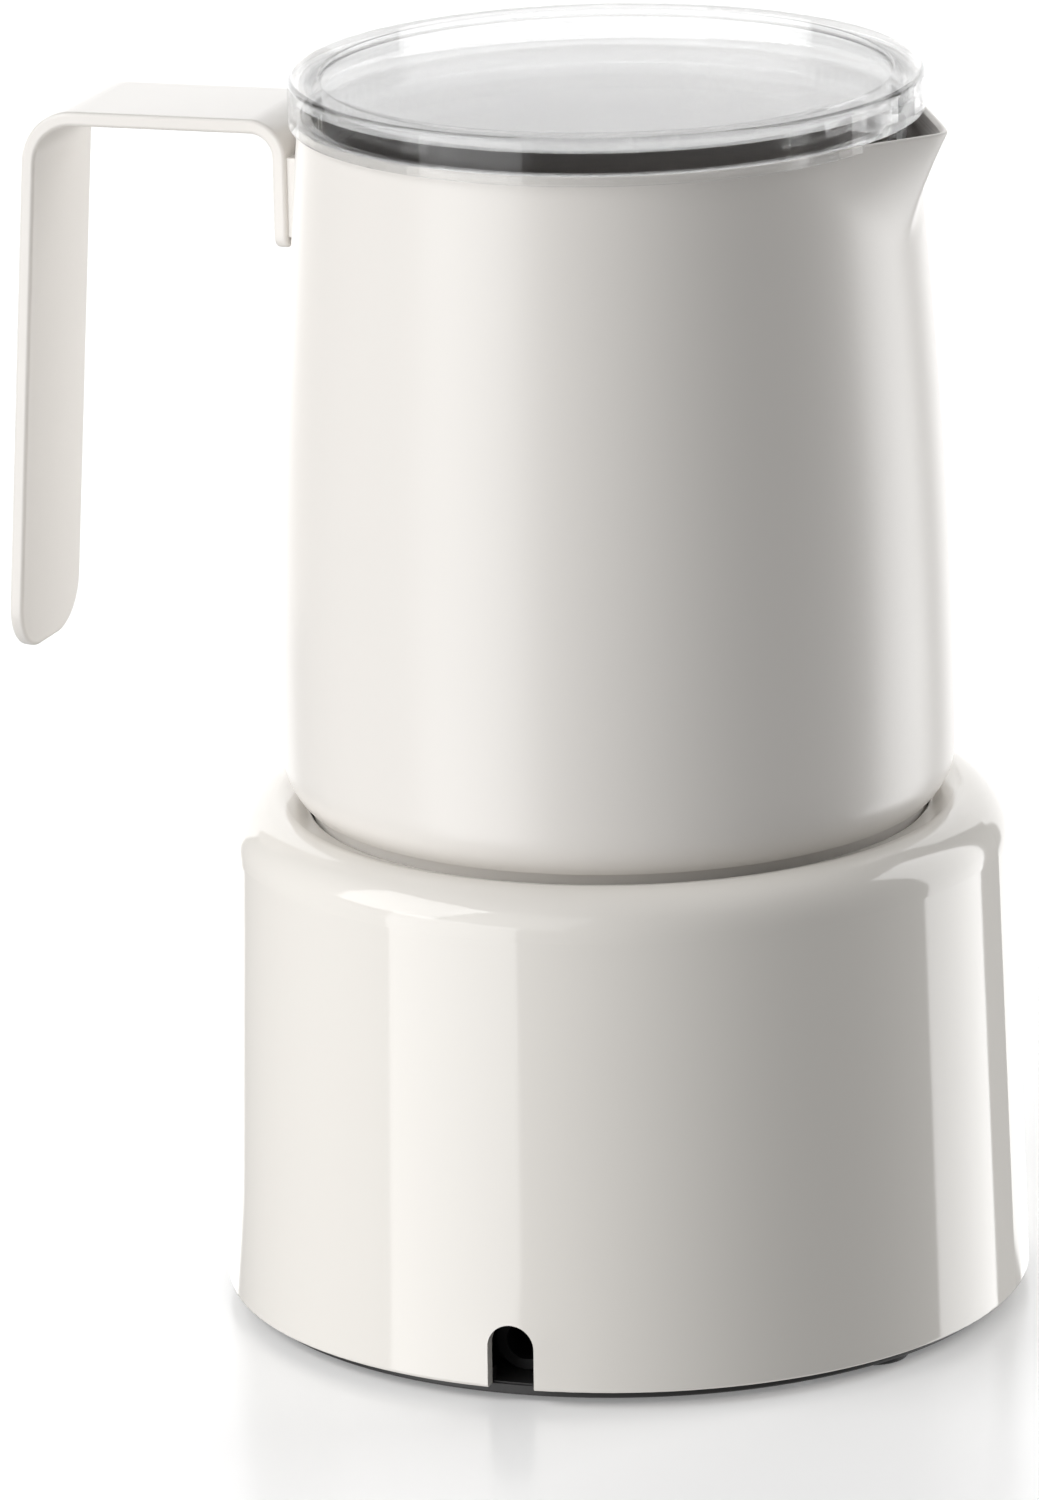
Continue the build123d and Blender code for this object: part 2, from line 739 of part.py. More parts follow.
with BuildPart() as drive_hub:
    with BuildSketch(Plane.XY.offset(hub_bottom_z)):
        Circle(hub_r)
    extrude(amount=hub_height)
    fillet(drive_hub.edges().group_by(Axis.Z)[0], moulded_round)
    with BuildSketch(Plane.XY.offset(hub_top_z)):
        with PolarLocations(magnet_circle_r, magnet_count):
            Circle(drive_magnet_r)
    extrude(amount=-drive_magnet_height, mode=Mode.SUBTRACT)
    with BuildSketch(Plane.XY.offset(hub_bottom_z)):
        Circle(shaft_r)
    extrude(amount=hub_height - hub_web, mode=Mode.SUBTRACT)
drive_hub.part.label = "drive_hub"
export_step(drive_hub.part, "parts/drive_hub.step")

with BuildPart() as drive_magnets:
    with BuildSketch(Plane.XY.offset(hub_top_z)):
        with PolarLocations(magnet_circle_r, magnet_count):
            Circle(drive_magnet_r)
    extrude(amount=-drive_magnet_height)
drive_magnets.part.label = "drive_magnets"
export_step(drive_magnets.part, "parts/drive_magnets.step")

# ---------------------------------------------------------------- jug sensor
guide_bottom_z = seat_bottom_z - sensor_guide_length
cap_top_z = seat_top_z - sensor_head_gap
cap_bottom_z = cap_top_z - sensor_cap_length

with BuildPart() as sensor_guide:
    with BuildSketch(Plane.XY.offset(guide_bottom_z)):
        with Locations((sensor_x, 0)):
            Circle(sensor_cap_r + sensor_guide_wall)
    extrude(amount=sensor_guide_length)
    with BuildSketch(Plane.XY.offset(guide_bottom_z + blind_end)):
        with Locations((sensor_x, 0)):
            Circle(sensor_cap_r + running_gap)
    extrude(amount=sensor_guide_length, mode=Mode.SUBTRACT)
    with BuildSketch(Plane.XY.offset(guide_bottom_z)):
        with Locations((sensor_x, 0)):
            Circle(sensor_vent_r)
    extrude(amount=blind_end, mode=Mode.SUBTRACT)
sensor_guide.part.label = "sensor_guide"
export_step(sensor_guide.part, "parts/sensor_guide.step")

with BuildPart() as sensor_cap:
    with BuildSketch(Plane.XY.offset(cap_bottom_z)):
        with Locations((sensor_x, 0)):
            Circle(sensor_cap_r)
    extrude(amount=sensor_cap_length)
    fillet(sensor_cap.edges().group_by(Axis.Z)[-1], moulded_round)
sensor_cap.part.label = "sensor_cap"
export_step(sensor_cap.part, "parts/sensor_cap.step")

spring_seat_z = guide_bottom_z + blind_end
with BuildPart() as sensor_spring:
    spring_r = sensor_cap_r - sensor_spring_gap
    coil = make_spring(spring_r, spring_wire, cap_bottom_z - spring_seat_z, sensor_spring_turns)
    add(coil.moved(Location((sensor_x, 0, spring_seat_z))))
sensor_spring.part.label = "sensor_spring"
export_step(sensor_spring.part, "parts/sensor_spring.step")

# ---------------------------------------------------------------- electronics
with BuildPart() as main_board:
    with BuildSketch(Plane.XY.offset(board_z)):
        Circle(board_r)
        Circle(board_hole_r, mode=Mode.SUBTRACT)
        for angle in standoff_angles:
            with PolarLocations(standoff_circle_r, 1, angle):
                Circle(screw_r + screw_gap, mode=Mode.SUBTRACT)
    extrude(amount=board_thickness)
main_board.part.label = "main_board"
export_step(main_board.part, "parts/main_board.step")

with BuildPart() as board_screws:
    for angle in standoff_angles:
        with PolarLocations(standoff_circle_r, 1, angle):
            add(make_screw(bracket_screw_length).moved(Location((0, 0, board_top_z))))
board_screws.part.label = "board_screws"
export_step(board_screws.part, "parts/board_screws.step")

with BuildPart() as heatsink:
    with BuildSketch(Plane.XY.offset(board_top_z)):
        with Locations((heatsink_x, 0)):
            Rectangle(heatsink_size[0], heatsink_size[1])
        with Locations((heatsink_x + (heatsink_size[0] - fin_depth) / 2, 0)):
            with GridLocations(1, fin_pitch, 1, 7):
                Rectangle(fin_depth, fin_slot, mode=Mode.SUBTRACT)
    extrude(amount=heatsink_size[2])
heatsink.part.label = "heatsink"
export_step(heatsink.part, "parts/heatsink.step")

transistor_x = heatsink_x - (heatsink_size[0] + transistor_size[0]) / 2
with BuildPart() as power_transistors:
    with BuildSketch(Plane.XY.offset(board_top_z + transistor_lead)):
        with Locations((transistor_x, 0)):
            with GridLocations(1, 2 * transistor_y, 1, 2):
                Rectangle(transistor_size[0], transistor_size[1])
    extrude(amount=transistor_size[2])
    with BuildSketch(Plane.XY.offset(board_top_z)):
        for row_y in (-transistor_y, transistor_y):
            with Locations((transistor_x, row_y)):
                with GridLocations(1, lead_pitch, 1, 3):
                    Rectangle(*lead_size)
    extrude(amount=transistor_lead)
power_transistors.part.label = "power_transistors"
export_step(power_transistors.part, "parts/power_transistors.step")

with BuildPart() as film_capacitors:
    with BuildSketch(Plane.XY.offset(board_top_z)):
        with Locations((film_cap_x, 0)):
            with GridLocations(film_cap_size[0] + film_cap_gap, 1, 2, 1):
                RectangleRounded(film_cap_size[0], film_cap_size[1], moulded_round)
    extrude(amount=film_cap_size[2])
film_capacitors.part.label = "film_capacitors"
export_step(film_capacitors.part, "parts/film_capacitors.step")

with BuildPart() as smoothing_capacitor:
    with BuildSketch(Plane.XY.offset(board_top_z)):
        with Locations((0, can_cap_y)):
            Circle(can_cap_r)
    extrude(amount=can_cap_height)
    fillet(smoothing_capacitor.edges().group_by(Axis.Z)[-1], moulded_round)
smoothing_capacitor.part.label = "smoothing_capacitor"
export_step(smoothing_capacitor.part, "parts/smoothing_capacitor.step")

with BuildPart() as choke:
    with BuildSketch(Plane.XZ):
        with Locations((choke_r, 0)):
            RectangleRounded(2 * choke_wire_r, 2 * choke_wire_r, choke_round)
    revolve(axis=Axis.Z)
choke_place = Location((0, choke_y, board_top_z + choke_wire_r))
choke_core = choke.part.moved(choke_place)
choke_core.label = "choke"
export_step(choke_core, "parts/choke.step")

# ---------------------------------------------------------------- fan
fan_place = Locations((fan_x, fan_y))
with BuildPart() as fan_frame:
    with BuildSketch(Plane.XY.offset(fan_z)):
        with fan_place:
            RectangleRounded(fan_size, fan_size, fan_round)
            Circle(fan_bore_r, mode=Mode.SUBTRACT)
            with GridLocations(2 * fan_hole_offset, 2 * fan_hole_offset, 2, 2):
                Circle(screw_r + screw_gap, mode=Mode.SUBTRACT)
    extrude(amount=fan_thickness)
    with BuildSketch(Plane.XY.offset(fan_z)):
        with fan_place:
            Circle(fan_hub_r)
            with PolarLocations((fan_hub_r + fan_bore_r) / 2, fan_struts, 90):
                Rectangle(fan_bore_r - fan_hub_r + 2 * fan_strut, fan_strut)
    extrude(amount=fan_back)
    with BuildSketch(Plane.XY.offset(fan_z + fan_back)):
        with fan_place:
            Circle(fan_pin_r)
    extrude(amount=fan_thickness - fan_back - fan_cap - slip_gap)
fan_frame.part.label = "fan_frame"
export_step(fan_frame.part, "parts/fan_frame.step")

with BuildPart() as fan_rotor:
    with BuildSketch(Plane.XY.offset(fan_z + fan_back + slip_gap)):
        with fan_place:
            Circle(fan_hub_r)
    extrude(amount=fan_thickness - fan_back - 2 * slip_gap)
    fillet(fan_rotor.edges().group_by(Axis.Z)[-1], moulded_round)
    with Locations((fan_x, fan_y, fan_z + fan_thickness / 2 + slip_gap)):
        with PolarLocations(fan_hub_r + fan_blade_size[0] / 2 - fan_overlap, fan_blades):
            Box(*fan_blade_size, rotation=(fan_blade_tilt, 0, 0))
    with BuildSketch(Plane.XY.offset(fan_z)):
        with fan_place:
            Circle(fan_pin_r + running_gap)
    extrude(amount=fan_thickness - fan_cap, mode=Mode.SUBTRACT)
fan_rotor.part.label = "fan_rotor"
export_step(fan_rotor.part, "parts/fan_rotor.step")

with BuildPart() as fan_screws:
    with fan_place:
        with GridLocations(2 * fan_hole_offset, 2 * fan_hole_offset, 2, 2):
            fan_screw = make_screw(fan_thickness + fan_floor_gap - slip_gap)
            add(fan_screw.moved(Location((0, 0, fan_z + fan_thickness))))
fan_screws.part.label = "fan_screws"
export_step(fan_screws.part, "parts/fan_screws.step")

# ---------------------------------------------------------------- start button and its board
board_face_y = control_board_y + board_thickness
button_face_y = shell_outer_r(button_z) + button_proud
board_face = Plane.XZ.offset(-board_face_y)

with BuildPart() as control_board:
    with BuildSketch(Plane.XZ.offset(-control_board_y)):
        with Locations((0, control_board_z)):
            RectangleRounded(*control_board_size, board_round)
        with Locations((-control_boss_x, control_boss_z), (control_boss_x, control_boss_z)):
            Circle(screw_r + screw_gap, mode=Mode.SUBTRACT)
    extrude(amount=-board_thickness)
control_board.part.label = "control_board"
export_step(control_board.part, "parts/control_board.step")

with BuildPart() as control_screws:
    with Locations((-control_boss_x, 0, 0), (control_boss_x, 0, 0)):
        board_back = Location((0, control_board_y, control_boss_z))
        add(make_screw(control_screw_length).rotate(Axis.X, 90).moved(board_back))
control_screws.part.label = "control_screws"
export_step(control_screws.part, "parts/control_screws.step")

with BuildPart() as tact_switch:
    with BuildSketch(board_face):
        with Locations((0, button_z)):
            Rectangle(switch_size, switch_size)
    extrude(amount=-switch_height)
    with BuildSketch(board_face):
        with Locations((0, button_z)):
            Circle(button_stem_r - plunger_inset)
    extrude(amount=-(button_back_y - button_stem - board_face_y - button_travel - switch_gap))
tact_switch.part.label = "tact_switch"
export_step(tact_switch.part, "parts/tact_switch.step")

with BuildPart() as status_leds:
    with BuildSketch(board_face):
        with Locations((0, light_pipe_z)):
            with GridLocations(light_pipe_pitch, 1, light_pipe_count, 1):
                Rectangle(led_size, led_size)
    extrude(amount=-led_height)
status_leds.part.label = "status_leds"
export_step(status_leds.part, "parts/status_leds.step")

with BuildPart() as light_pipes:
    with BuildSketch(Plane.XZ.offset(-board_face_y - led_height - slip_gap)):
        with Locations((0, light_pipe_z)):
            with GridLocations(light_pipe_pitch, 1, light_pipe_count, 1):
                Circle(light_pipe_r)
    extrude(amount=-(base_bottom_r - board_face_y))
    with BuildSketch(Plane.XY.offset(light_pipe_z - 2 * light_pipe_r)):
        Circle(shell_outer_r(light_pipe_z))
    extrude(amount=4 * light_pipe_r, mode=Mode.INTERSECT)
light_pipes.part.label = "light_pipes"
export_step(light_pipes.part, "parts/light_pipes.step")

with BuildPart() as start_button:
    with BuildSketch(Plane.XZ.offset(-button_back_y)):
        with Locations((0, button_z)):
            Circle(button_r)
    extrude(amount=-(button_face_y - button_back_y))
    fillet(start_button.edges().group_by(Axis.Y)[-1], moulded_round)
    with BuildSketch(Plane.XZ.offset(-button_back_y)):
        with Locations((0, button_z)):
            Circle(button_flange_r)
    extrude(amount=-button_flange)
    with BuildSketch(Plane.XZ.offset(-button_back_y)):
        with Locations((0, button_z)):
            Circle(button_stem_r)
    extrude(amount=button_stem)
start_button.part.label = "start_button"
export_step(start_button.part, "parts/start_button.step")

with BuildPart() as button_spring:
    add(
        make_spring(button_spring_r, spring_wire, button_back_y - board_face_y, button_spring_turns)
        .rotate(Axis.X, -90)
        .moved(Location((0, board_face_y, button_z)))
    )
button_spring.part.label = "button_spring"
export_step(button_spring.part, "parts/button_spring.step")

# ---------------------------------------------------------------- jug
jug_frame = Plane.XY.rotated((0, 0, jug_turn))
jug_side = Plane.XZ.rotated((0, 0, jug_turn))


def jug_outline(inset):
    """Half outline of the jug, from the rim down to the floor, moved inwards by a wall."""
    upper = Line((jug_rim_r - inset, jug_rim_z), (jug_taper_r - inset, jug_taper_z))
    side = TangentArc(upper @ 1, (jug_belly_r - inset, jug_belly_z), tangent=upper % 1)
    edge_end = (jug_edge_r - inset, jug_edge_z + inset)
    edge = TangentArc(side @ 1, edge_end, tangent=side % 1)
    Polyline(
        edge @ 1,
        (jug_foot_r - inset, jug_edge_z + inset),
        (jug_foot_r - inset, floor_under_z + inset),
        (0, floor_under_z + inset),
        (0, jug_rim_z),
        upper @ 0,
    )


def spout_outline(tip_r, inset):
    """A V section of the spout with its point at tip_r, moved inwards by a wall."""
    half = radians(spout_half_angle)
    tip_x = tip_r - inset / sin(half)
    half_width = (tip_x - spout_back_x) * tan(half)
    Polyline((tip_x, 0), (spout_back_x, half_width), (spout_back_x, -half_width), close=True)


spout_foot_z = jug_rim_z - spout_depth
spout_tip_r = jug_rim_r + spout_reach
# heights of the spout's lower and upper section, each with the radius of its point
spout_sections = (
    (spout_foot_z, jug_side_r(spout_foot_z) + running_gap),
    (jug_rim_z, spout_tip_r),
)

with BuildPart() as jug_solid:
    with BuildSketch(Plane.XZ):
        with BuildLine():
            jug_outline(0)
        make_face()
    revolve(axis=Axis.Z)

with BuildPart() as jug_body:
    add(jug_solid.part)
    for section_z, tip_r in spout_sections:
        with BuildSketch(jug_frame.offset(section_z)) as spout_section:
            with BuildLine():
                spout_outline(tip_r, 0)
            make_face()
            fillet(corner(spout_section, tip_r, 0), spout_tip_round)
    loft()
    with BuildSketch(Plane.XZ):
        with BuildLine():
            jug_outline(jug_wall)
        make_face()
    revolve(axis=Axis.Z, mode=Mode.SUBTRACT)
    for section_z, tip_r in spout_sections:
        with BuildSketch(jug_frame.offset(section_z)):
            with BuildLine():
                spout_outline(tip_r, jug_wall)
            make_face()
    loft(mode=Mode.SUBTRACT)
    # the lip falls a little towards the point
    lip_start = jug_rim_r - jug_wall
    lip_end = spout_tip_r + jug_wall
    with BuildSketch(jug_side):
        with BuildLine():
            Polyline(
                (lip_start, jug_rim_z),
                (lip_end, jug_rim_z),
                (lip_end, jug_rim_z - spout_lip_drop),
                close=True,
            )
        make_face()
    extrude(amount=lip_start, both=True, mode=Mode.SUBTRACT)
    rim_edges = jug_body.edges().filter_by(GeomType.CIRCLE).group_by(Axis.Z)[-1]
    fillet(rim_edges, min(rim_round, rim_share * jug_wall))
jug_body.part.label = "jug_body"
export_step(jug_body.part, "parts/jug_body.step")

with BuildPart() as jug_base_disc:
    with BuildSketch(Plane.XY.offset(seat_top_z)):
        Circle(jug_disc_r)
    extrude(amount=jug_disc_thickness)
    chamfer(jug_base_disc.edges().group_by(Axis.Z)[0], edge_break)
jug_base_disc.part.label = "jug_base_disc"
export_step(jug_base_disc.part, "parts/jug_base_disc.step")

# the grip's mid line: up the tab on the jug, out along the top, over and down the grip
half_strap = strap_thickness / 2
strap_top_z = jug_rim_z - strap_drop
strap_root_z = strap_top_z - strap_tab
strap_root_r = jug_side_r(strap_root_z) + strap_stand
strap_mid_z = strap_top_z - half_strap
grip_top = (jug_rim_r + strap_room + half_strap, strap_mid_z - strap_fall)
strap_end_z = strap_top_z - strap_grip
grip_end = (grip_top[0] + strap_lean * (grip_top[1] - strap_end_z), strap_end_z)
tab_top = (strap_root_r - half_strap, strap_mid_z)

with BuildPart() as handle:
    with BuildSketch(jug_side):
        with BuildLine():
            FilletPolyline(
                (-tab_top[0], strap_root_z),
                (-tab_top[0], tab_top[1]),
                (-grip_top[0], grip_top[1]),
                (-grip_end[0], grip_end[1]),
                radius=[strap_root_bend, strap_bend],
            )
        trace(line_width=strap_thickness)
    extrude(amount=strap_width / 2, both=True)
    # corners of the free end and of the tab, seen square to the bar
    # its four short edges, which run through the bar's thickness
    end_edges = handle.edges().filter_by(lambda edge: abs(edge.length - strap_thickness) < tolerance)
    fillet(end_edges.group_by(Axis.Z)[0], strap_corner)
    fillet(end_edges.group_by(Axis.Z)[-1], tab_corner)
    sides = handle.faces().sort_by(Axis((0, 0, 0), jug_side.z_dir))
    fillet(sides[0].edges() + sides[-1].edges(), strap_edge_round)
    # the tab is dressed to the round wall that it is welded to
    with BuildSketch(jug_side):
        with BuildLine():
            Polyline(
                (half_strap - strap_root_r, strap_root_z + tab_corner),
                (half_strap - strap_root_r, strap_mid_z - strap_root_bend),
                (-jug_rim_r + 2 * strap_thickness, strap_mid_z - strap_root_bend),
                (-jug_rim_r + 2 * strap_thickness, strap_root_z + tab_corner),
                close=True,
            )
        make_face()
    extrude(amount=strap_width / 2 - strap_edge_round, both=True)
    add(jug_solid.part, mode=Mode.SUBTRACT)
handle.part.label = "handle"
export_step(handle.part, "parts/handle.step")

with BuildPart() as whisk_pin:
    with BuildSketch(Plane.XY.offset(jug_floor_z)):
        Circle(pin_flange_r)
    extrude(amount=pin_flange)
    with BuildSketch(Plane.XY.offset(jug_floor_z)):
        Circle(pin_r)
    extrude(amount=pin_height)
    fillet(whisk_pin.edges().group_by(Axis.Z)[-1], moulded_round)
whisk_pin.part.label = "whisk_pin"
export_step(whisk_pin.part, "parts/whisk_pin.step")

# ---------------------------------------------------------------- whisk
ring_z = whisk_z + whisk_coil_r

with BuildPart() as whisk_hub:
    with BuildSketch(Plane.XY.offset(whisk_z)):
        Circle(whisk_disc_r)
    extrude(amount=whisk_disc_height)
    fillet(whisk_hub.edges().group_by(Axis.Z)[-1], moulded_round)
    with BuildSketch(Plane.XY.offset(whisk_z)):
        Circle(whisk_stem_r)
    extrude(amount=whisk_stem_height)
    fillet(whisk_hub.edges().group_by(Axis.Z)[-1], moulded_round)
    with BuildSketch(Plane.XY.offset(ring_z - whisk_arm_height / 2)):
        arm_length = whisk_ring_r - whisk_coil_r - running_gap
        with PolarLocations(arm_length / 2, whisk_arms):
            Rectangle(arm_length, whisk_arm_width)
    extrude(amount=whisk_arm_height)
    with BuildSketch(Plane.XY.offset(whisk_z)):
        Circle(pin_r + running_gap)
    extrude(amount=pin_height - pin_flange - whisk_gap + slip_gap, mode=Mode.SUBTRACT)
    with BuildSketch(Plane.XY.offset(whisk_z)):
        with PolarLocations((whisk_disc_r + pin_r) / 2, magnet_count, 45):
            Circle(whisk_magnet_r)
    extrude(amount=whisk_magnet_height, mode=Mode.SUBTRACT)
whisk_hub.part.label = "whisk_hub"
export_step(whisk_hub.part, "parts/whisk_hub.step")

with BuildPart() as whisk_magnets:
    with BuildSketch(Plane.XY.offset(whisk_z)):
        with PolarLocations((whisk_disc_r + pin_r) / 2, magnet_count, 45):
            Circle(whisk_magnet_r)
    extrude(amount=whisk_magnet_height)
whisk_magnets.part.label = "whisk_magnets"
export_step(whisk_magnets.part, "parts/whisk_magnets.step")

with BuildPart() as whisk_ring:
    with BuildSketch(Plane.XZ):
        with Locations((whisk_ring_r, ring_z)):
            Circle(whisk_coil_r)
    revolve(axis=Axis.Z)
whisk_ring.part.label = "whisk_ring"
export_step(whisk_ring.part, "parts/whisk_ring.step")

# ---------------------------------------------------------------- lid
skirt_bottom_z = jug_rim_z - lid_skirt_drop
skirt_inner_r = jug_side_r(skirt_bottom_z) + lid_skirt_gap
plug_r = jug_rim_r - jug_wall - lid_plug_gap
plug_bottom_z = jug_rim_z - lid_plug_depth
lid_r = skirt_inner_r + lid_skirt_wall
lid_top_z = jug_rim_z + lid_rise
plate_top_z = lid_top_z - lid_rim_step
plate_under_z = plate_top_z - lid_plate
groove_top_z = jug_rim_z - seal_depth

with BuildPart() as lid:
    with BuildSketch(Plane.XZ) as lid_profile:
        with BuildLine():
            Polyline(
                (0, plate_top_z),
                (lid_r - lid_rim_width, plate_top_z),
                (lid_r - lid_rim_width, lid_top_z),
                (lid_r, lid_top_z),
                (lid_r, skirt_bottom_z),
                (skirt_inner_r, skirt_bottom_z),
                (skirt_inner_r, jug_rim_z),
                (plug_r, jug_rim_z),
                (plug_r, groove_top_z),
                (plug_r - seal_reach, groove_top_z),
                (plug_r - seal_reach, groove_top_z - seal_height),
                (plug_r, groove_top_z - seal_height),
                (plug_r, plug_bottom_z),
                (plug_r - lid_plug_wall, plug_bottom_z),
                (plug_r - lid_plug_wall, plate_under_z),
                (0, plate_under_z),
                close=True,
            )
        make_face()
        fillet(corner(lid_profile, lid_r, lid_top_z), lid_round)
        fillet(corner(lid_profile, lid_r - lid_rim_width, lid_top_z), lid_rim_step / 2)
        fillet(corner(lid_profile, lid_r, skirt_bottom_z), edge_break)
    revolve(axis=Axis.Z)
    # the plug is open to the spout, and the skirt stops either side of it
    with BuildSketch(jug_frame.offset(plug_bottom_z)):
        with Locations((plug_r, 0)):
            Rectangle(2 * lid_plug_wall + 2 * lid_plug_gap, lid_slot_width)
    extrude(amount=jug_rim_z - plug_bottom_z, mode=Mode.SUBTRACT)
    with BuildSketch(jug_frame.offset(skirt_bottom_z)):
        with Locations((lid_r, 0)):
            Rectangle(2 * (lid_r - skirt_inner_r) + 2 * lid_plug_wall, lid_skirt_opening)
    extrude(amount=lid_skirt_drop, mode=Mode.SUBTRACT)
lid.part.label = "lid"
export_step(lid.part, "parts/lid.step")

with BuildPart() as lid_seal:
    with BuildSketch(Plane.XY.offset(groove_top_z - seal_height)):
        Circle(plug_r + seal_reach)
        Circle(plug_r - seal_reach, mode=Mode.SUBTRACT)
    extrude(amount=seal_height)
    fillet(lid_seal.faces().filter_by(GeomType.CYLINDER).sort_by(SortBy.RADIUS)[-1].edges(), edge_break)
    with BuildSketch(jug_frame.offset(groove_top_z - seal_height)):
        with Locations((plug_r, 0)):
            Rectangle(2 * lid_plug_wall + 2 * lid_plug_gap, lid_slot_width)
    extrude(amount=seal_height, mode=Mode.SUBTRACT)
lid_seal.part.label = "lid_seal"
export_step(lid_seal.part, "parts/lid_seal.step")
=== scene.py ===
"""Milk frother: finishes, a pressed jug wall, wound springs, and a plain studio around them."""

import math

import bmesh
import bpy
from bpy.props import FloatProperty, FloatVectorProperty, IntProperty, PointerProperty
from mathutils import Matrix, Vector


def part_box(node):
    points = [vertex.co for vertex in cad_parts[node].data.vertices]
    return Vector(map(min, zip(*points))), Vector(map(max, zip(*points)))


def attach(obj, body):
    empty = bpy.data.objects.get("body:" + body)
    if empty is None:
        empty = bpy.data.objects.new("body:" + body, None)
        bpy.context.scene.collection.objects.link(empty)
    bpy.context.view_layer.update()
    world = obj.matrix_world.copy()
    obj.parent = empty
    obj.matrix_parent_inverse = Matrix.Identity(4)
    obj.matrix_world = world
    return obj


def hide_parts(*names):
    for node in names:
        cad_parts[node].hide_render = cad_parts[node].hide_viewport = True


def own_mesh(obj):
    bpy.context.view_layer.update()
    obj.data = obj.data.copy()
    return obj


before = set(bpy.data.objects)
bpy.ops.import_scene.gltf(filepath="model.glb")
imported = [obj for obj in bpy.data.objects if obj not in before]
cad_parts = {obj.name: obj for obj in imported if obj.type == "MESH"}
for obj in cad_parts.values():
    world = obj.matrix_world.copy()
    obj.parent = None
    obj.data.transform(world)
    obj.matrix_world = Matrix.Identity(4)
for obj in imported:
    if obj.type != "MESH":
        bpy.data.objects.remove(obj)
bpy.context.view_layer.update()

bl_info = {
    "name": "Milk frother",
    "version": (1, 0, 0),
    "blender": (4, 5, 0),
    "location": "View3D > Sidebar > Frother",
    "description": "Finishes a packed milk frother and sets a studio round it",
    "category": "Object",
}

# ---------------------------------------------------------------- places taken from the frame
JUG_LOW, JUG_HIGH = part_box("jug_body")
RING_LOW, RING_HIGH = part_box("whisk_ring")
FLOOR_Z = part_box("rubber_feet")[0].z

# ---------------------------------------------------------------- how finely the new pieces are made
EDGE_STEPS = 8
BELLY_STEPS = 12
SIDE_ROWS = 40
RIM_STEPS = 4
PRESS_SPRING_STEPS = 24
WHISK_SPRING_STEPS = 14
FEWEST_WIRE_SIDES = 4
MERGE_DISTANCE = 0.000001
SHARP_ANGLE = math.radians(35)
CROWD_WIDTH = math.radians(45)
CROWD_POWER = 1.5
LOOKS_UP = 0.7

# ---------------------------------------------------------------- other fixed numbers
ALONG_Y = 1
ALONG_Z = 2
COATED_SIDE = 0
BARE_STEEL_SIDE = 1
FLOOR_HALF_WIDTH = 20.0
FLOOR_GAP = 0.00005
FILM_WIDTH = 36.0
FAR_CLIP = 60.0
WHITE = (1.0, 1.0, 1.0, 1.0)


def colour_setting(name, description, default):
    return FloatVectorProperty(
        name=name, description=description, subtype="COLOR", size=3, min=0, max=1, default=default
    )


# ---------------------------------------------------------------- settings that a user would change
class FrotherCoating(bpy.types.PropertyGroup):
    """Colours and gloss of the outside."""

    housing: colour_setting("Housing", "Glossy moulding of the base", (0.80, 0.772, 0.728))
    jug: colour_setting("Jug", "Satin coating of the jug and its handle", (0.79, 0.762, 0.726))
    housing_roughness: FloatProperty(
        name="Housing roughness", description="Blur of the housing's reflections", default=0.08, min=0, max=1
    )
    jug_roughness: FloatProperty(
        name="Jug roughness", description="Blur of the satin coating's reflections", default=0.33, min=0,
        max=1,
    )
    lid_index: FloatProperty(
        name="Lid index", description="Refraction of the clear plastic", default=1.50, min=1, max=2
    )


class FrotherSpout(bpy.types.PropertyGroup):
    """The spout that is pressed out of the jug's wall."""

    turn: FloatProperty(
        name="Turn", description="Bearing of the spout from +X", default=math.radians(-3.5), subtype="ANGLE"
    )
    reach: FloatProperty(
        name="Reach", description="From the wall out to the point", default=0.0088, min=0, unit="LENGTH"
    )
    depth: FloatProperty(
        name="Depth", description="From the rim down to the foot of the spout", default=0.0185, min=0,
        unit="LENGTH",
    )
    tip: FloatProperty(
        name="Tip", description="How blunt the point is, as an angle", default=math.radians(1.3),
        subtype="ANGLE",
    )
    lip_drop: FloatProperty(
        name="Lip drop", description="Fall of the lip at its point", default=0.0008, min=0, unit="LENGTH"
    )
    softness: FloatProperty(
        name="Softness", description="1 for a straight keel, more for one that starts slowly", default=1.2,
        min=1,
    )


class FrotherJug(bpy.types.PropertyGroup):
    """The jug's wall, between the heights and radii that the frame gives."""

    wall: FloatProperty(name="Wall", description="Thickness", default=0.0012, min=0, unit="LENGTH")
    foot_r: FloatProperty(
        name="Foot", description="Radius of the foot", default=0.050, min=0, unit="LENGTH"
    )
    edge_r: FloatProperty(
        name="Edge", description="Radius of the lower edge", default=0.0518, min=0, unit="LENGTH"
    )
    edge_z: FloatProperty(
        name="Edge height", description="Height of the lower edge", default=0.0846, unit="LENGTH"
    )
    belly_z: FloatProperty(
        name="Belly height", description="Where the jug is widest", default=0.092, unit="LENGTH"
    )
    taper_z: FloatProperty(
        name="Taper height", description="Where the straight side starts", default=0.160, unit="LENGTH"
    )
    slope: FloatProperty(name="Slope", description="Of the straight side", default=0.073, min=0)
    rim_round: FloatProperty(
        name="Rim round", description="Radius of the rim's edges", default=0.0005, unit="LENGTH"
    )
    steps: IntProperty(name="Steps", description="Faces round the wall", default=360, min=24)


class FrotherSprings(bpy.types.PropertyGroup):
    """The springs under the button and the jug sensor."""

    wire_radius: FloatProperty(
        name="Wire radius", description="Radius of both springs' wire", default=0.0002, min=0.0001,
        unit="LENGTH",
    )
    sides: IntProperty(name="Sides", description="Faces round the wire, an even number", default=8, min=4)
    sensor_turns: IntProperty(name="Sensor turns", description="Turns under the cap", default=5, min=1)
    button_turns: IntProperty(name="Button turns", description="Turns behind the button", default=3, min=1)


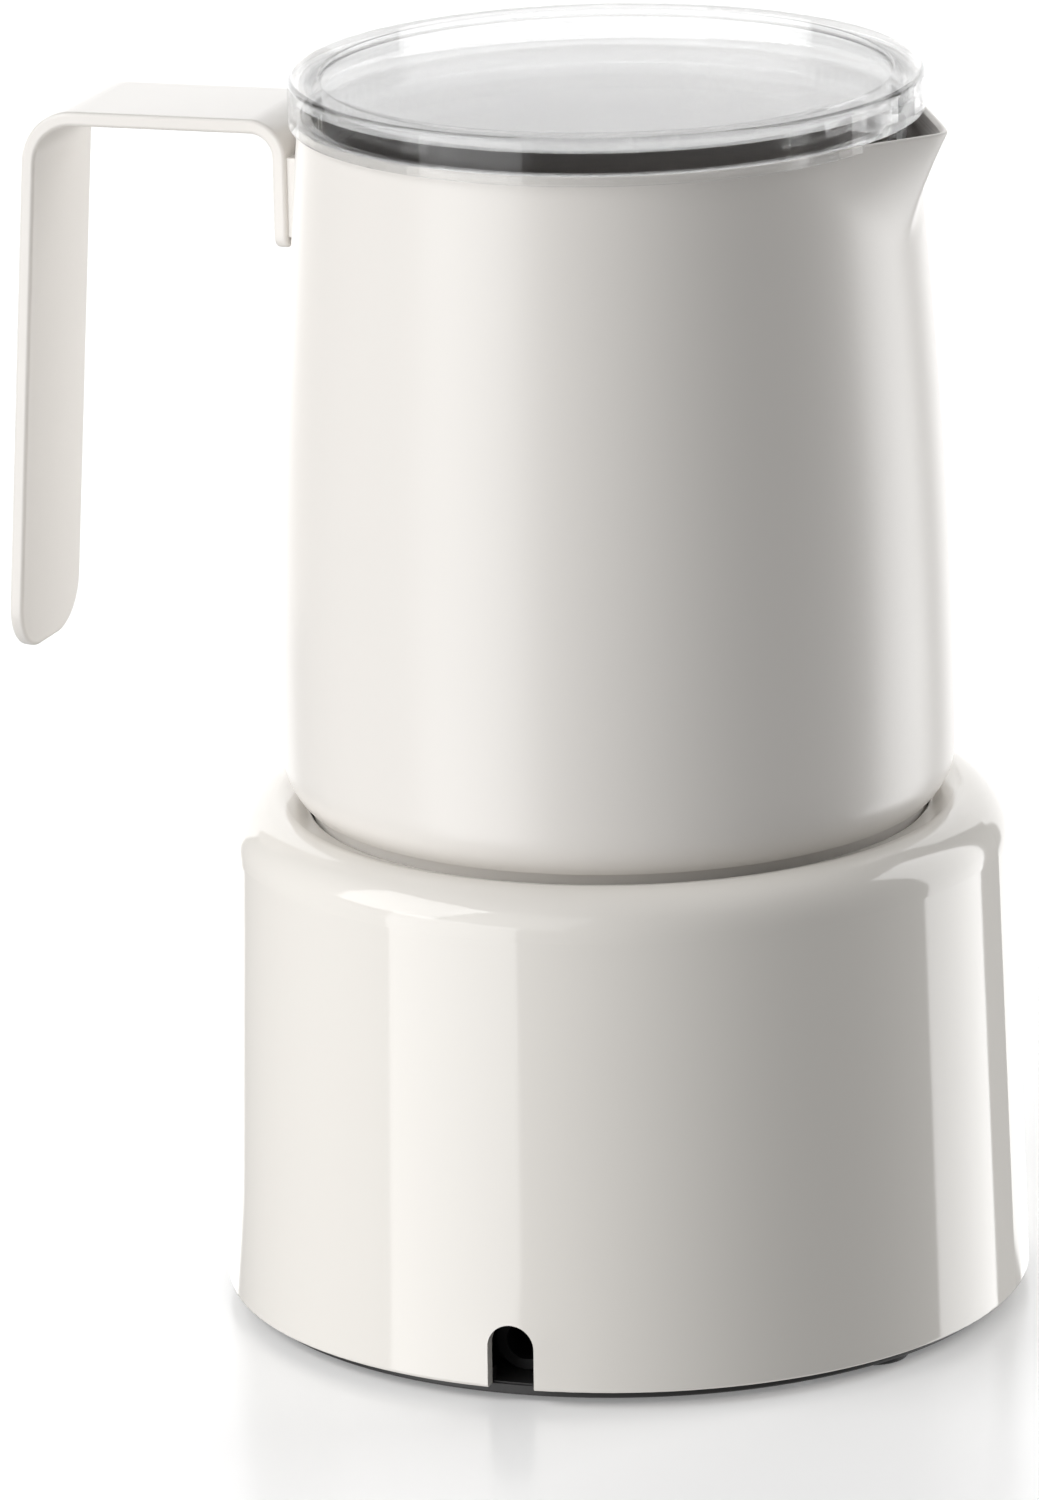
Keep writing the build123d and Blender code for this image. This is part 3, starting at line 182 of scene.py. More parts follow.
class FrotherWhisk(bpy.types.PropertyGroup):
    """The wound spring round the whisk."""

    wire_radius: FloatProperty(
        name="Wire radius", description="Radius of the spring's wire", default=0.00042, min=0.0001,
        unit="LENGTH",
    )
    turns: IntProperty(name="Turns", description="Turns of wire round the whole ring", default=74, min=8)
    sides: IntProperty(name="Sides", description="Faces round the wire, an even number", default=6, min=4)


class FrotherStage(bpy.types.PropertyGroup):
    """Floor, lights and camera."""

    floor: colour_setting("Floor", "Plain pale floor", (0.86, 0.86, 0.86))
    surround: FloatProperty(name="Surround", description="Strength of the even light", default=0.17, min=0)
    key: FloatProperty(name="Key", description="Brightness of the left softbox", default=2.6, min=0)
    high: FloatProperty(
        name="High", description="Brightness of the raised softbox on the left", default=3.7, min=0
    )
    bounce: FloatProperty(name="Bounce", description="Brightness from below", default=0.45, min=0)
    fill: FloatProperty(
        name="Fill", description="Brightness of the raised softbox nearer the camera", default=0.95, min=0
    )
    rim: FloatProperty(name="Rim", description="Brightness of the right strip", default=3.5, min=0)
    top: FloatProperty(name="Top", description="Brightness of the overhead softbox", default=0.3, min=0)
    back: FloatProperty(name="Back", description="Brightness of the softbox behind", default=1.6, min=0)
    floor_glow: FloatProperty(
        name="Floor glow", description="Light that the floor gives off", default=0.17, min=0
    )
    view_turn: FloatProperty(
        name="View turn", description="Camera's turn about the upright", default=math.radians(17.0),
        subtype="ANGLE",
    )
    distance: FloatProperty(
        name="Distance", description="Camera's level distance from the axis", default=1.63665, unit="LENGTH"
    )
    height: FloatProperty(name="Height", description="Camera's height", default=0.561125, unit="LENGTH")
    lens: FloatProperty(name="Lens", description="Focal length for a 36 mm sensor", default=250.795, min=1)


# ---------------------------------------------------------------- materials
def new_material(name, colour, roughness, metallic=0.0, **sockets):
    """A material with a Principled shader; sockets gives further constants by socket name."""
    material = bpy.data.materials.new(name)
    material.use_nodes = True
    shader = material.node_tree.nodes["Principled BSDF"]
    shader.inputs["Base Color"].default_value = (*colour, 1.0)
    shader.inputs["Roughness"].default_value = roughness
    shader.inputs["Metallic"].default_value = metallic
    for socket, value in sockets.items():
        shader.inputs[socket.replace("_", " ")].default_value = value
    return material


def add_node(material, kind, **values):
    """A new node; values gives its settings by name."""
    node = material.node_tree.nodes.new(kind)
    for name, value in values.items():
        setattr(node, name, value)
    return node


def join(material, output, socket):
    material.node_tree.links.new(output, socket)


def surface(material):
    return material.node_tree.nodes["Principled BSDF"]


def object_place(material, scale=(1.0, 1.0, 1.0)):
    """Object coordinates, stretched by scale."""
    coordinates = add_node(material, "ShaderNodeTexCoord")
    mapping = add_node(material, "ShaderNodeMapping")
    mapping.inputs["Scale"].default_value = scale
    join(material, coordinates.outputs["Object"], mapping.inputs["Vector"])
    return mapping.outputs["Vector"]


def noise(material, place, scale, detail=3.0):
    texture = add_node(material, "ShaderNodeTexNoise")
    texture.inputs["Scale"].default_value = scale
    texture.inputs["Detail"].default_value = detail
    join(material, place, texture.inputs["Vector"])
    return texture.outputs["Fac"]


def spread(material, factor, low, high, start=0.3, end=0.7):
    """factor between start and end becomes low to high."""
    change = add_node(material, "ShaderNodeMapRange")
    for socket, value in (("From Min", start), ("From Max", end), ("To Min", low), ("To Max", high)):
        change.inputs[socket].default_value = value
    join(material, factor, change.inputs["Value"])
    return change.outputs["Result"]


def blend_colours(material, factor, first, second):
    """first where factor is 0 and second where it is 1; each is a colour or a colour output."""
    mix = add_node(material, "ShaderNodeMix", data_type="RGBA")
    join(material, factor, mix.inputs["Factor"])
    for socket, value in (("A", first), ("B", second)):
        target = [s for s in mix.inputs if s.name == socket and s.type == "RGBA"][0]
        if isinstance(value, bpy.types.NodeSocket):
            join(material, value, target)
        else:
            target.default_value = (*value, 1.0)
    return [s for s in mix.outputs if s.type == "RGBA"][0]


def relief(material, height, depth, strength=1.0, below=None):
    """A bump of this depth in metres, over another bump's normal if one is given."""
    bump = add_node(material, "ShaderNodeBump")
    bump.inputs["Strength"].default_value = strength
    bump.inputs["Distance"].default_value = depth
    join(material, height, bump.inputs["Height"])
    if below is not None:
        join(material, below, bump.inputs["Normal"])
    return bump.outputs["Normal"]


def shade(colour, share):
    """The colour with each channel multiplied by share."""
    return tuple(channel * share for channel in colour)


def vary(material, colour, roughness, scale, colour_share=0.97, roughness_spread=0.04):
    """Slow changes in tone and gloss, as on any real finish."""
    factor = noise(material, object_place(material), scale)
    tone = blend_colours(material, spread(material, factor, 0.0, 1.0), colour, shade(colour, colour_share))
    join(material, tone, surface(material).inputs["Base Color"])
    low, high = roughness - roughness_spread, roughness + roughness_spread
    join(material, spread(material, factor, low, high), surface(material).inputs["Roughness"])


def moulded(name, colour, roughness, grain_scale=900.0, grain_depth=0.00002, **sockets):
    """Plastic or rubber with a fine moulded grain."""
    material = new_material(name, colour, roughness, **sockets)
    vary(material, colour, roughness, scale=45.0)
    grain = noise(material, object_place(material), grain_scale, detail=2.0)
    join(material, relief(material, grain, grain_depth), surface(material).inputs["Normal"])
    return material


def brushed(name, colour, roughness, stretch, scale=60.0, depth=0.000008):
    """Metal with fine lines; stretch is large along the axis that crosses the lines."""
    material = new_material(name, colour, roughness, metallic=1.0)
    lines = noise(material, object_place(material, stretch), scale, detail=4.0)
    tone = blend_colours(material, spread(material, lines, 0.0, 1.0), colour, shade(colour, 0.86))
    join(material, tone, surface(material).inputs["Base Color"])
    gloss = spread(material, lines, roughness - 0.08, roughness + 0.08)
    join(material, gloss, surface(material).inputs["Roughness"])
    join(material, relief(material, lines, depth), surface(material).inputs["Normal"])
    return material


def plated(name, colour, roughness):
    """Bright plated metal with faint tarnish."""
    material = new_material(name, colour, roughness, metallic=1.0)
    vary(material, colour, roughness, scale=260.0, colour_share=0.88, roughness_spread=0.05)
    return material


def glossy_housing(name, colour, roughness):
    """Polished off-white moulding: a clear gloss over a very slight ripple."""
    material = new_material(name, colour, roughness, Coat_Weight=0.05, Coat_Roughness=0.03, IOR=1.46)
    vary(material, colour, roughness, scale=9.0, colour_share=0.985, roughness_spread=0.02)
    wave = noise(material, object_place(material), scale=26.0, detail=1.0)
    ripple = relief(material, wave, depth=0.00005)
    dust = noise(material, object_place(material), scale=2600.0, detail=1.0)
    speck = relief(material, dust, depth=0.0000015, strength=0.5, below=ripple)
    join(material, speck, surface(material).inputs["Normal"])
    return material


def satin_coating(name, colour, roughness):
    """Sprayed satin coating: fine orange peel under a thin soft gloss."""
    material = new_material(name, colour, roughness, Coat_Weight=0.12, Coat_Roughness=0.22, IOR=1.5)
    vary(material, colour, roughness, scale=14.0, colour_share=0.982, roughness_spread=0.03)
    spray = noise(material, object_place(material), scale=620.0, detail=2.0)
    peel = relief(material, spray, depth=0.000012)
    dust = noise(material, object_place(material), scale=3200.0, detail=1.0)
    speck = relief(material, dust, depth=0.000004, strength=0.6, below=peel)
    join(material, speck, surface(material).inputs["Normal"])
    return material


def clear_plastic(name, colour, roughness, index):
    """Polished clear plastic with the faint haze of handling."""
    material = new_material(name, colour, roughness, Transmission_Weight=1.0, IOR=index, Alpha=0.62)
    haze = noise(material, object_place(material), scale=38.0, detail=4.0)
    gloss = spread(material, haze, roughness, roughness + 0.03)
    join(material, gloss, surface(material).inputs["Roughness"])
    wave = noise(material, object_place(material), scale=30.0, detail=1.0)
    join(material, relief(material, wave, depth=0.00004), surface(material).inputs["Normal"])
    return material


def frosted_silicone(name, colour, roughness=0.45):
    """Soft milky rubber that lets some light through."""
    material = new_material(name, colour, roughness, Transmission_Weight=0.35, IOR=1.41)
    vary(material, colour, roughness, scale=60.0, colour_share=0.94, roughness_spread=0.05)
    return material


def milky_guide(name, colour, roughness=0.22):
    """Milky plastic that leads light."""
    material = new_material(name, colour, roughness, Transmission_Weight=0.5, IOR=1.49)
    vary(material, colour, roughness, scale=300.0, colour_share=0.93, roughness_spread=0.05)
    return material


def wound_copper(name, colour):
    """Bundles of enamelled wire, laid round and round."""
    material = new_material(
        name, colour, roughness=0.34, metallic=0.9, Coat_Weight=0.5, Coat_Roughness=0.12
    )
    twist = add_node(material, "ShaderNodeTexWave", bands_direction="DIAGONAL")
    twist.inputs["Scale"].default_value = 420.0
    twist.inputs["Distortion"].default_value = 2.0
    join(material, object_place(material), twist.inputs["Vector"])
    tone = blend_colours(material, twist.outputs["Fac"], shade(colour, 0.55), colour)
    join(material, tone, surface(material).inputs["Base Color"])
    grooves = relief(material, twist.outputs["Fac"], depth=0.00012)
    join(material, grooves, surface(material).inputs["Normal"])
    return material


def circuit_board(name, colour):
    """Green mask with copper tracks under it and tinned pads."""
    material = new_material(name, colour, roughness=0.35, Coat_Weight=0.3, Coat_Roughness=0.15)
    tracks = add_node(material, "ShaderNodeTexBrick", offset=0.35)
    tracks.inputs["Scale"].default_value = 120.0
    tracks.inputs["Mortar Size"].default_value = 0.035
    tracks.inputs["Color1"].default_value = (*shade(colour, 0.8), 1.0)
    tracks.inputs["Color2"].default_value = (*colour, 1.0)
    tracks.inputs["Mortar"].default_value = (*shade(colour, 1.9), 1.0)
    join(material, object_place(material), tracks.inputs["Vector"])
    pads = add_node(material, "ShaderNodeTexVoronoi")
    pads.inputs["Scale"].default_value = 330.0
    join(material, object_place(material), pads.inputs["Vector"])
    pad_reach = 0.16
    tinned = (0.55, 0.54, 0.50)
    is_pad = add_node(material, "ShaderNodeMath", operation="LESS_THAN")
    is_pad.inputs[1].default_value = pad_reach
    join(material, pads.outputs["Distance"], is_pad.inputs[0])
    tone = blend_colours(material, is_pad.outputs["Value"], tracks.outputs["Color"], tinned)
    join(material, tone, surface(material).inputs["Base Color"])
    steps = relief(material, tracks.outputs["Fac"], depth=0.00003)
    join(material, steps, surface(material).inputs["Normal"])
    return material


def sintered(name, colour):
    """Porous dark ceramic."""
    material = new_material(name, colour, roughness=0.75)
    pores = add_node(material, "ShaderNodeTexVoronoi")
    pores.inputs["Scale"].default_value = 1400.0
    join(material, object_place(material), pores.inputs["Vector"])
    tone = blend_colours(material, pores.outputs["Distance"], shade(colour, 0.6), colour)
    join(material, tone, surface(material).inputs["Base Color"])
    pits = relief(material, pores.outputs["Distance"], depth=0.00008)
    join(material, pits, surface(material).inputs["Normal"])
    return material


def finish(material, *nodes):
    """Gives the material to CAD nodes."""
    for name in nodes:
        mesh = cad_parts[name].data
        mesh.materials.clear()
        mesh.materials.append(material)


# ---------------------------------------------------------------- operators, one for each group of pieces
class FROTHER_OT_housing(bpy.types.Operator):
    """Finish the base's housing, its button and light pipes"""

    bl_idname = "frother.housing"
    bl_label = "Housing"

    def execute(self, context):
        look = context.scene.frother_coating
        finish(glossy_housing("housing_gloss", look.housing, look.housing_roughness), "base_shell")
        button_colour = shade(look.housing, 0.97)
        button = moulded("button_satin", button_colour, 0.30, grain_scale=1500.0, grain_depth=0.000006)
        finish(button, "start_button")
        finish(milky_guide("light_pipe_clear", (0.90, 0.90, 0.87)), "light_pipes")
        return {"FINISHED"}


class FROTHER_OT_underside(bpy.types.Operator):
    """Finish the base plate, feet, cord gland and screws"""

    bl_idname = "frother.underside"
    bl_label = "Underside"

    def execute(self, context):
        for node, name, colour, roughness, grain_scale, grain_depth in (
            ("base_plate", "plate_black", (0.022, 0.021, 0.021), 0.48, 1300.0, 0.00003),
            ("rubber_feet", "foot_rubber", (0.030, 0.030, 0.031), 0.72, 700.0, 0.00004),
            ("cable_gland", "gland_rubber", (0.012, 0.012, 0.013), 0.62, 800.0, 0.00003),
        ):
            finish(moulded(name, colour, roughness, grain_scale, grain_depth), node)
        finish(moulded("clamp_black", (0.05, 0.05, 0.052), 0.50), "cord_clamp")
        finish(
            plated("screw_zinc", (0.60, 0.61, 0.62), 0.32),
            "base_screws", "clamp_screws", "former_screws", "bracket_screws",
            "motor_screws", "board_screws", "fan_screws", "control_screws",
        )
        return {"FINISHED"}


class FROTHER_OT_seat(bpy.types.Operator):
    """Finish the seat that the jug stands on, its seal and the jug sensor"""

    bl_idname = "frother.seat"
    bl_label = "Seat"

    def execute(self, context):
        seat = moulded(
            "seat_black", (0.018, 0.018, 0.020), 0.24,
            grain_scale=1800.0, grain_depth=0.000006, Coat_Weight=0.3,
        )
        finish(seat, "seat_plate")
        finish(moulded("seal_black", (0.028, 0.028, 0.028), 0.70), "seat_seal")
        finish(moulded("sensor_grey", (0.16, 0.16, 0.165), 0.42), "sensor_cap")
        finish(moulded("guide_natural", (0.62, 0.60, 0.54), 0.50), "sensor_guide")
        return {"FINISHED"}


class FROTHER_OT_heating(bpy.types.Operator):
    """Finish the induction coil and what carries it"""

    bl_idname = "frother.heating"
    bl_label = "Heating"

    def execute(self, context):
        former = moulded("former_natural", (0.66, 0.63, 0.56), 0.52, grain_scale=600.0, grain_depth=0.00003)
        finish(former, "coil_former")
        finish(wound_copper("litz_copper", (0.74, 0.33, 0.14)), "induction_coil")
        finish(sintered("ferrite_dark", (0.075, 0.075, 0.082)), "ferrite_bars")
        return {"FINISHED"}


class FROTHER_OT_drive(bpy.types.Operator):
    """Finish the motor, its bracket and the magnetic drive"""

    bl_idname = "frother.drive"
    bl_label = "Drive"

    def execute(self, context):
        finish(brushed("bracket_steel", (0.60, 0.60, 0.59), 0.36, stretch=(400.0, 4.0, 4.0)), "motor_bracket")
        finish(brushed("can_steel", (0.56, 0.56, 0.55), 0.30, stretch=(4.0, 4.0, 500.0)), "motor_can")
        finish(plated("shaft_bright", (0.72, 0.72, 0.72), 0.16), "motor_shaft")
        finish(moulded("hub_black", (0.040, 0.040, 0.042), 0.46), "drive_hub")
        finish(plated("magnet_nickel", (0.70, 0.69, 0.65), 0.22), "drive_magnets", "whisk_magnets")
        return {"FINISHED"}


class FROTHER_OT_electronics(bpy.types.Operator):
    """Finish the boards, their components and the fan"""

    bl_idname = "frother.electronics"
    bl_label = "Electronics"

    def execute(self, context):
        finish(circuit_board("board_green", (0.020, 0.16, 0.070)), "main_board", "control_board")
        finish(brushed("sink_aluminium", (0.74, 0.74, 0.75), 0.40, stretch=(4.0, 4.0, 300.0)), "heatsink")
        finish(moulded("package_black", (0.022, 0.022, 0.024), 0.40), "power_transistors", "tact_switch")
        finish(moulded("capacitor_grey", (0.30, 0.31, 0.33), 0.38), "film_capacitors")
        finish(moulded("can_sleeve", (0.018, 0.020, 0.045), 0.30), "smoothing_capacitor")
        finish(wound_copper("choke_copper", (0.66, 0.28, 0.12)), "choke")
        finish(moulded("fan_black", (0.028, 0.028, 0.030), 0.44), "fan_frame", "fan_rotor")
        finish(moulded("led_milky", (0.80, 0.80, 0.76), 0.25), "status_leds")
        return {"FINISHED"}


def arc(centre, radius, start, end, count):
    """Points on an arc in a half section, as (radius from the axis, height); angles are in degrees."""
    angles = [math.radians(start + (end - start) * step / count) for step in range(count + 1)]
    return [(centre[0] + radius * math.cos(a), centre[1] + radius * math.sin(a)) for a in angles]


def jug_side(size, inset):
    """The jug's half section, moved in by inset: round the lower edge and the belly, then straight up."""
    lean = math.atan(size.slope)
    belly_r = JUG_HIGH.y
    edge_in = belly_r - size.edge_r
    edge_up = size.belly_z - size.edge_z
    edge_round = (edge_in**2 + edge_up**2) / (2 * edge_in)
    edge_turn = math.degrees(math.asin(edge_up / edge_round))
    side_round = (size.taper_z - size.belly_z) / math.sin(lean)
    side_turn = math.degrees(lean)
    points = arc((belly_r - edge_round, size.belly_z), edge_round, -edge_turn, 0, EDGE_STEPS)
    points += arc((belly_r - side_round, size.belly_z), side_round, 0, side_turn, BELLY_STEPS)[1:]
    top_r = points[-1][0]
    for row in range(1, SIDE_ROWS + 1):
        rise = (JUG_HIGH.z - size.taper_z - size.rim_round) * row / SIDE_ROWS
        points.append((top_r - rise * size.slope, size.taper_z + rise))
    return [(radius - inset, max(height, size.edge_z + inset)) for radius, height in points]


def crowded(angle):
    """The same angle, drawn towards 0 near the spout, so that the mesh is finer there."""
    if abs(angle) >= CROWD_WIDTH:
        return angle
    return math.copysign(CROWD_WIDTH * (abs(angle) / CROWD_WIDTH) ** CROWD_POWER, angle)


def pressed_out(place, spout):
    """A point of the round wall, moved out where the spout is; the sides leave the wall smoothly."""
    radius = math.hypot(place.x, place.y)
    share = (place.z - JUG_HIGH.z + spout.depth) / spout.depth
    angle = math.atan2(place.y, place.x)
    drop = 0.0
    if share > 0 and radius > spout.reach:
        reach = spout.reach * share**spout.softness
        grazing = math.acos(radius / (radius + reach))
        off = math.hypot(crowded(angle), spout.tip)
        if off < grazing:
            drop = spout.lip_drop * share * (radius / math.cos(grazing - off) - radius) / spout.reach
            radius = radius / math.cos(grazing - off)
    turned = crowded(angle) + spout.turn
    return Vector((radius * math.cos(turned), radius * math.sin(turned), place.z - drop))


def put_in_order(shape):
    """Orders corners by place and then edges and faces by their corners; a weld leaves that to chance."""
    for rank, vert in enumerate(sorted(shape.verts, key=lambda vert: tuple(vert.co))):
        vert.index = rank
    shape.verts.sort()
    for parts in (shape.edges, shape.faces):
        ranked = sorted(parts, key=lambda part: sorted(vert.index for vert in part.verts))
        for rank, part in enumerate(ranked):
            part.index = rank
        parts.sort()


class FROTHER_OT_jug(bpy.types.Operator):
    """Press the jug's wall with its spout, and finish the handle, base disc and whisk pin"""

    bl_idname = "frother.jug"
    bl_label = "Jug"

    def execute(self, context):
        look = context.scene.frother_coating
        self.press_jug(context, look)
        finish(satin_coating("handle_satin", look.jug, look.jug_roughness), "handle")
        disc = brushed("disc_steel", (0.50, 0.48, 0.45), 0.34, stretch=(300.0, 4.0, 4.0))
        finish(disc, "jug_base_disc")
        finish(plated("pin_bright", (0.70, 0.70, 0.70), 0.20), "whisk_pin")
        return {"FINISHED"}

    def press_jug(self, context, look):
        size = context.scene.frother_jug
        spout = context.scene.frother_spout
        rim_z = JUG_HIGH.z - size.rim_round
        shape = bmesh.new()
        verts = [shape.verts.new((radius, 0.0, height)) for radius, height in self.outline(size, rim_z)]
        edges = [shape.edges.new(pair) for pair in zip(verts, verts[1:])]
        bmesh.ops.spin(
            shape, geom=verts + edges, cent=(0, 0, 0), axis=(0, 0, 1), dvec=(0, 0, 0),
            angle=2 * math.pi, steps=size.steps, use_merge=True, use_duplicate=False,
        )
        bmesh.ops.remove_doubles(shape, verts=shape.verts, dist=MERGE_DISTANCE)
        bmesh.ops.recalc_face_normals(shape, faces=shape.faces)
        for face in shape.faces:
            is_inside = self.is_inside(face, size, rim_z)
            face.material_index = BARE_STEEL_SIDE if is_inside else COATED_SIDE
        for vert in shape.verts:
            vert.co = pressed_out(vert.co, spout)
        put_in_order(shape)
        mesh = bpy.data.meshes.new("jug_wall")
        shape.to_mesh(mesh)
        shape.free()
        mesh.shade_smooth()
        mesh.set_sharp_from_angle(angle=SHARP_ANGLE)
        jug = bpy.data.objects.new("jug_wall", mesh)
        context.scene.collection.objects.link(jug)
        mesh.materials.append(satin_coating("jug_satin", look.jug, look.jug_roughness))
        steel = brushed("jug_steel", (0.60, 0.57, 0.55), 0.42, stretch=(3.0, 3.0, 700.0), scale=4.0)
        mesh.materials.append(steel)
        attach(jug, "jug")
        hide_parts("jug_body")

    def outline(self, size, rim_z):
        """Half the wall's section, from the middle underneath, up the outside and down the inside."""
        outer = jug_side(size, 0.0)
        inner = jug_side(size, size.wall)
        rim_r = outer[-1][0]
        inside_r = size.foot_r - size.wall
        inside_z = JUG_LOW.z + size.wall
        ease = size.rim_round
        points = [(0.0, JUG_LOW.z), (size.foot_r - ease, JUG_LOW.z), (size.foot_r, JUG_LOW.z + ease)]
        points += [(size.foot_r, size.edge_z), *outer]
        points += arc((rim_r - ease, rim_z), ease, 0, 90, RIM_STEPS)[1:]
        points += arc((rim_r - size.wall + ease, rim_z), ease, 90, 180, RIM_STEPS)
        points += [*reversed(inner[:-1]), (inside_r, size.edge_z + size.wall)]
        points += [(inside_r, inside_z + ease), (inside_r - ease, inside_z), (0.0, inside_z)]
        return points

    def is_inside(self, face, size, rim_z):
        """Whether a face of the round wall lies on the floor inside or looks at the axis below the rim."""
        middle = face.calc_center_median()
        is_low = JUG_LOW.z + size.wall / 2 < middle.z < size.belly_z
        on_floor = is_low and face.normal.z > LOOKS_UP
        away = middle.x * face.normal.x + middle.y * face.normal.y
        return on_floor or (away < 0 and middle.z < rim_z)


class FROTHER_OT_lid(bpy.types.Operator):
    """Finish the clear lid and its seal"""

    bl_idname = "frother.lid"
    bl_label = "Lid"

    def execute(self, context):
        look = context.scene.frother_coating
        finish(clear_plastic("lid_clear", (0.985, 0.99, 0.99), 0.015, look.lid_index), "lid")
        finish(frosted_silicone("lid_silicone", (0.70, 0.70, 0.70)), "lid_seal")
        return {"FINISHED"}


def wind_wire(context, name, points, radius, sides, closed):
    """A round wire along the points, as a mesh."""
    line = bpy.data.curves.new(name, "CURVE")
    line.dimensions = "3D"
    line.bevel_depth = radius
    line.bevel_resolution = (sides - FEWEST_WIRE_SIDES) // 2
    line.use_fill_caps = True
    spline = line.splines.new("POLY")
    spline.points.add(len(points) - 1)
    for place, point in zip(points, spline.points):
        point.co = (*place, 1.0)
    spline.use_cyclic_u = closed
    wire = bpy.data.objects.new("wire_line", line)
    context.scene.collection.objects.link(wire)
    context.view_layer.update()
    mesh = bpy.data.meshes.new_from_object(wire.evaluated_get(context.evaluated_depsgraph_get()))
    bpy.data.objects.remove(wire)
    mesh.shade_smooth()
    mesh.materials.clear()
    piece = bpy.data.objects.new(name, mesh)
    context.scene.collection.objects.link(piece)
    return piece


class FROTHER_OT_springs(bpy.types.Operator):
    """Wind the two pressed springs of the button and the jug sensor"""

    bl_idname = "frother.springs"
    bl_label = "Springs"

    def execute(self, context):
        size = context.scene.frother_springs
        bright = plated("press_spring_bright", (0.72, 0.72, 0.72), 0.16)
        self.wind(context, "sensor_spring", "sensor_press", ALONG_Z, size.sensor_turns, bright)
        self.wind(context, "button_spring", "button_press", ALONG_Y, size.button_turns, bright)
        return {"FINISHED"}

    def wind(self, context, node, joint, along, turns, material):
        """A spring in the node's place, along that axis."""
        size = context.scene.frother_springs
        low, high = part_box(node)
        middle = (low + high) / 2
        across = [axis for axis in range(3) if axis != along]
        radius = (high[across[0]] - low[across[0]]) / 2 - size.wire_radius
        length = high[along] - low[along] - 2 * size.wire_radius
        count = turns * PRESS_SPRING_STEPS
        points = []
        for index in range(count + 1):
            angle = 2 * math.pi * index / PRESS_SPRING_STEPS
            place = [0.0, 0.0, 0.0]
            place[across[0]] = middle[across[0]] + radius * math.cos(angle)
            place[across[1]] = middle[across[1]] + radius * math.sin(angle)
            place[along] = low[along] + size.wire_radius + length * index / count
            points.append(tuple(place))
        spring = wind_wire(context, node + "_wound", points, size.wire_radius, size.sides, closed=False)
        spring.data.materials.append(material)
        direction = Vector((0.0, 0.0, 0.0))
        direction[along] = 1.0
        anchor = Vector(middle)
        anchor[along] = low[along]
        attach(spring, "base")
        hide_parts(node)
        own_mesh(spring)


class FROTHER_OT_whisk(bpy.types.Operator):
    """Wind the spring round the whisk and finish its hub"""

    bl_idname = "frother.whisk"
    bl_label = "Whisk"

    def execute(self, context):
        coil = context.scene.frother_whisk
        winding_r = (RING_HIGH.z - RING_LOW.z) / 2 - coil.wire_radius
        ring_r = RING_HIGH.x - (RING_HIGH.z - RING_LOW.z) / 2
        middle_z = (RING_HIGH.z + RING_LOW.z) / 2
        count = coil.turns * WHISK_SPRING_STEPS
        points = []
        for index in range(count):
            around = 2 * math.pi * index / count
            turn = 2 * math.pi * index / WHISK_SPRING_STEPS
            reach = ring_r + winding_r * math.cos(turn)
            height = middle_z + winding_r * math.sin(turn)
            points.append((reach * math.cos(around), reach * math.sin(around), height))
        spring = wind_wire(context, "whisk_spring", points, coil.wire_radius, coil.sides, closed=True)
        spring.data.materials.append(plated("spring_bright", (0.72, 0.72, 0.71), 0.18))
        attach(spring, "whisk")
        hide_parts("whisk_ring")
        finish(moulded("whisk_black", (0.045, 0.045, 0.047), 0.40), "whisk_hub")
        return {"FINISHED"}


# ---------------------------------------------------------------- floor, lights and camera
def camera_turn(stage):
    """Unit vectors from the axis towards the camera and to the camera's right, both level."""
    towards = Vector((math.sin(stage.view_turn), -math.cos(stage.view_turn), 0.0))
    right = Vector((math.cos(stage.view_turn), math.sin(stage.view_turn), 0.0))
    return towards, right


def softbox(name, stage, brightness, turn, distance, size, height, aim_z):
    """A rectangular light that faces the axis; turn is its bearing from the camera, plus to the right."""
    towards, right = camera_turn(stage)
    bearing = towards * math.cos(turn) + right * math.sin(turn)
    light = bpy.data.lights.new(name, "AREA")
    light.shape = "RECTANGLE"
    light.size, light.size_y = size
    light.energy = brightness * math.pi * size[0] * size[1]  # watts for this radiance
    lamp = bpy.data.objects.new(name, light)
    bpy.context.scene.collection.objects.link(lamp)
    lamp.location = bearing * distance + Vector((0.0, 0.0, height))
    direction = Vector((0.0, 0.0, aim_z)) - lamp.location
    lamp.rotation_euler = direction.to_track_quat("-Z", "Y").to_euler()
    lamp.visible_camera = False


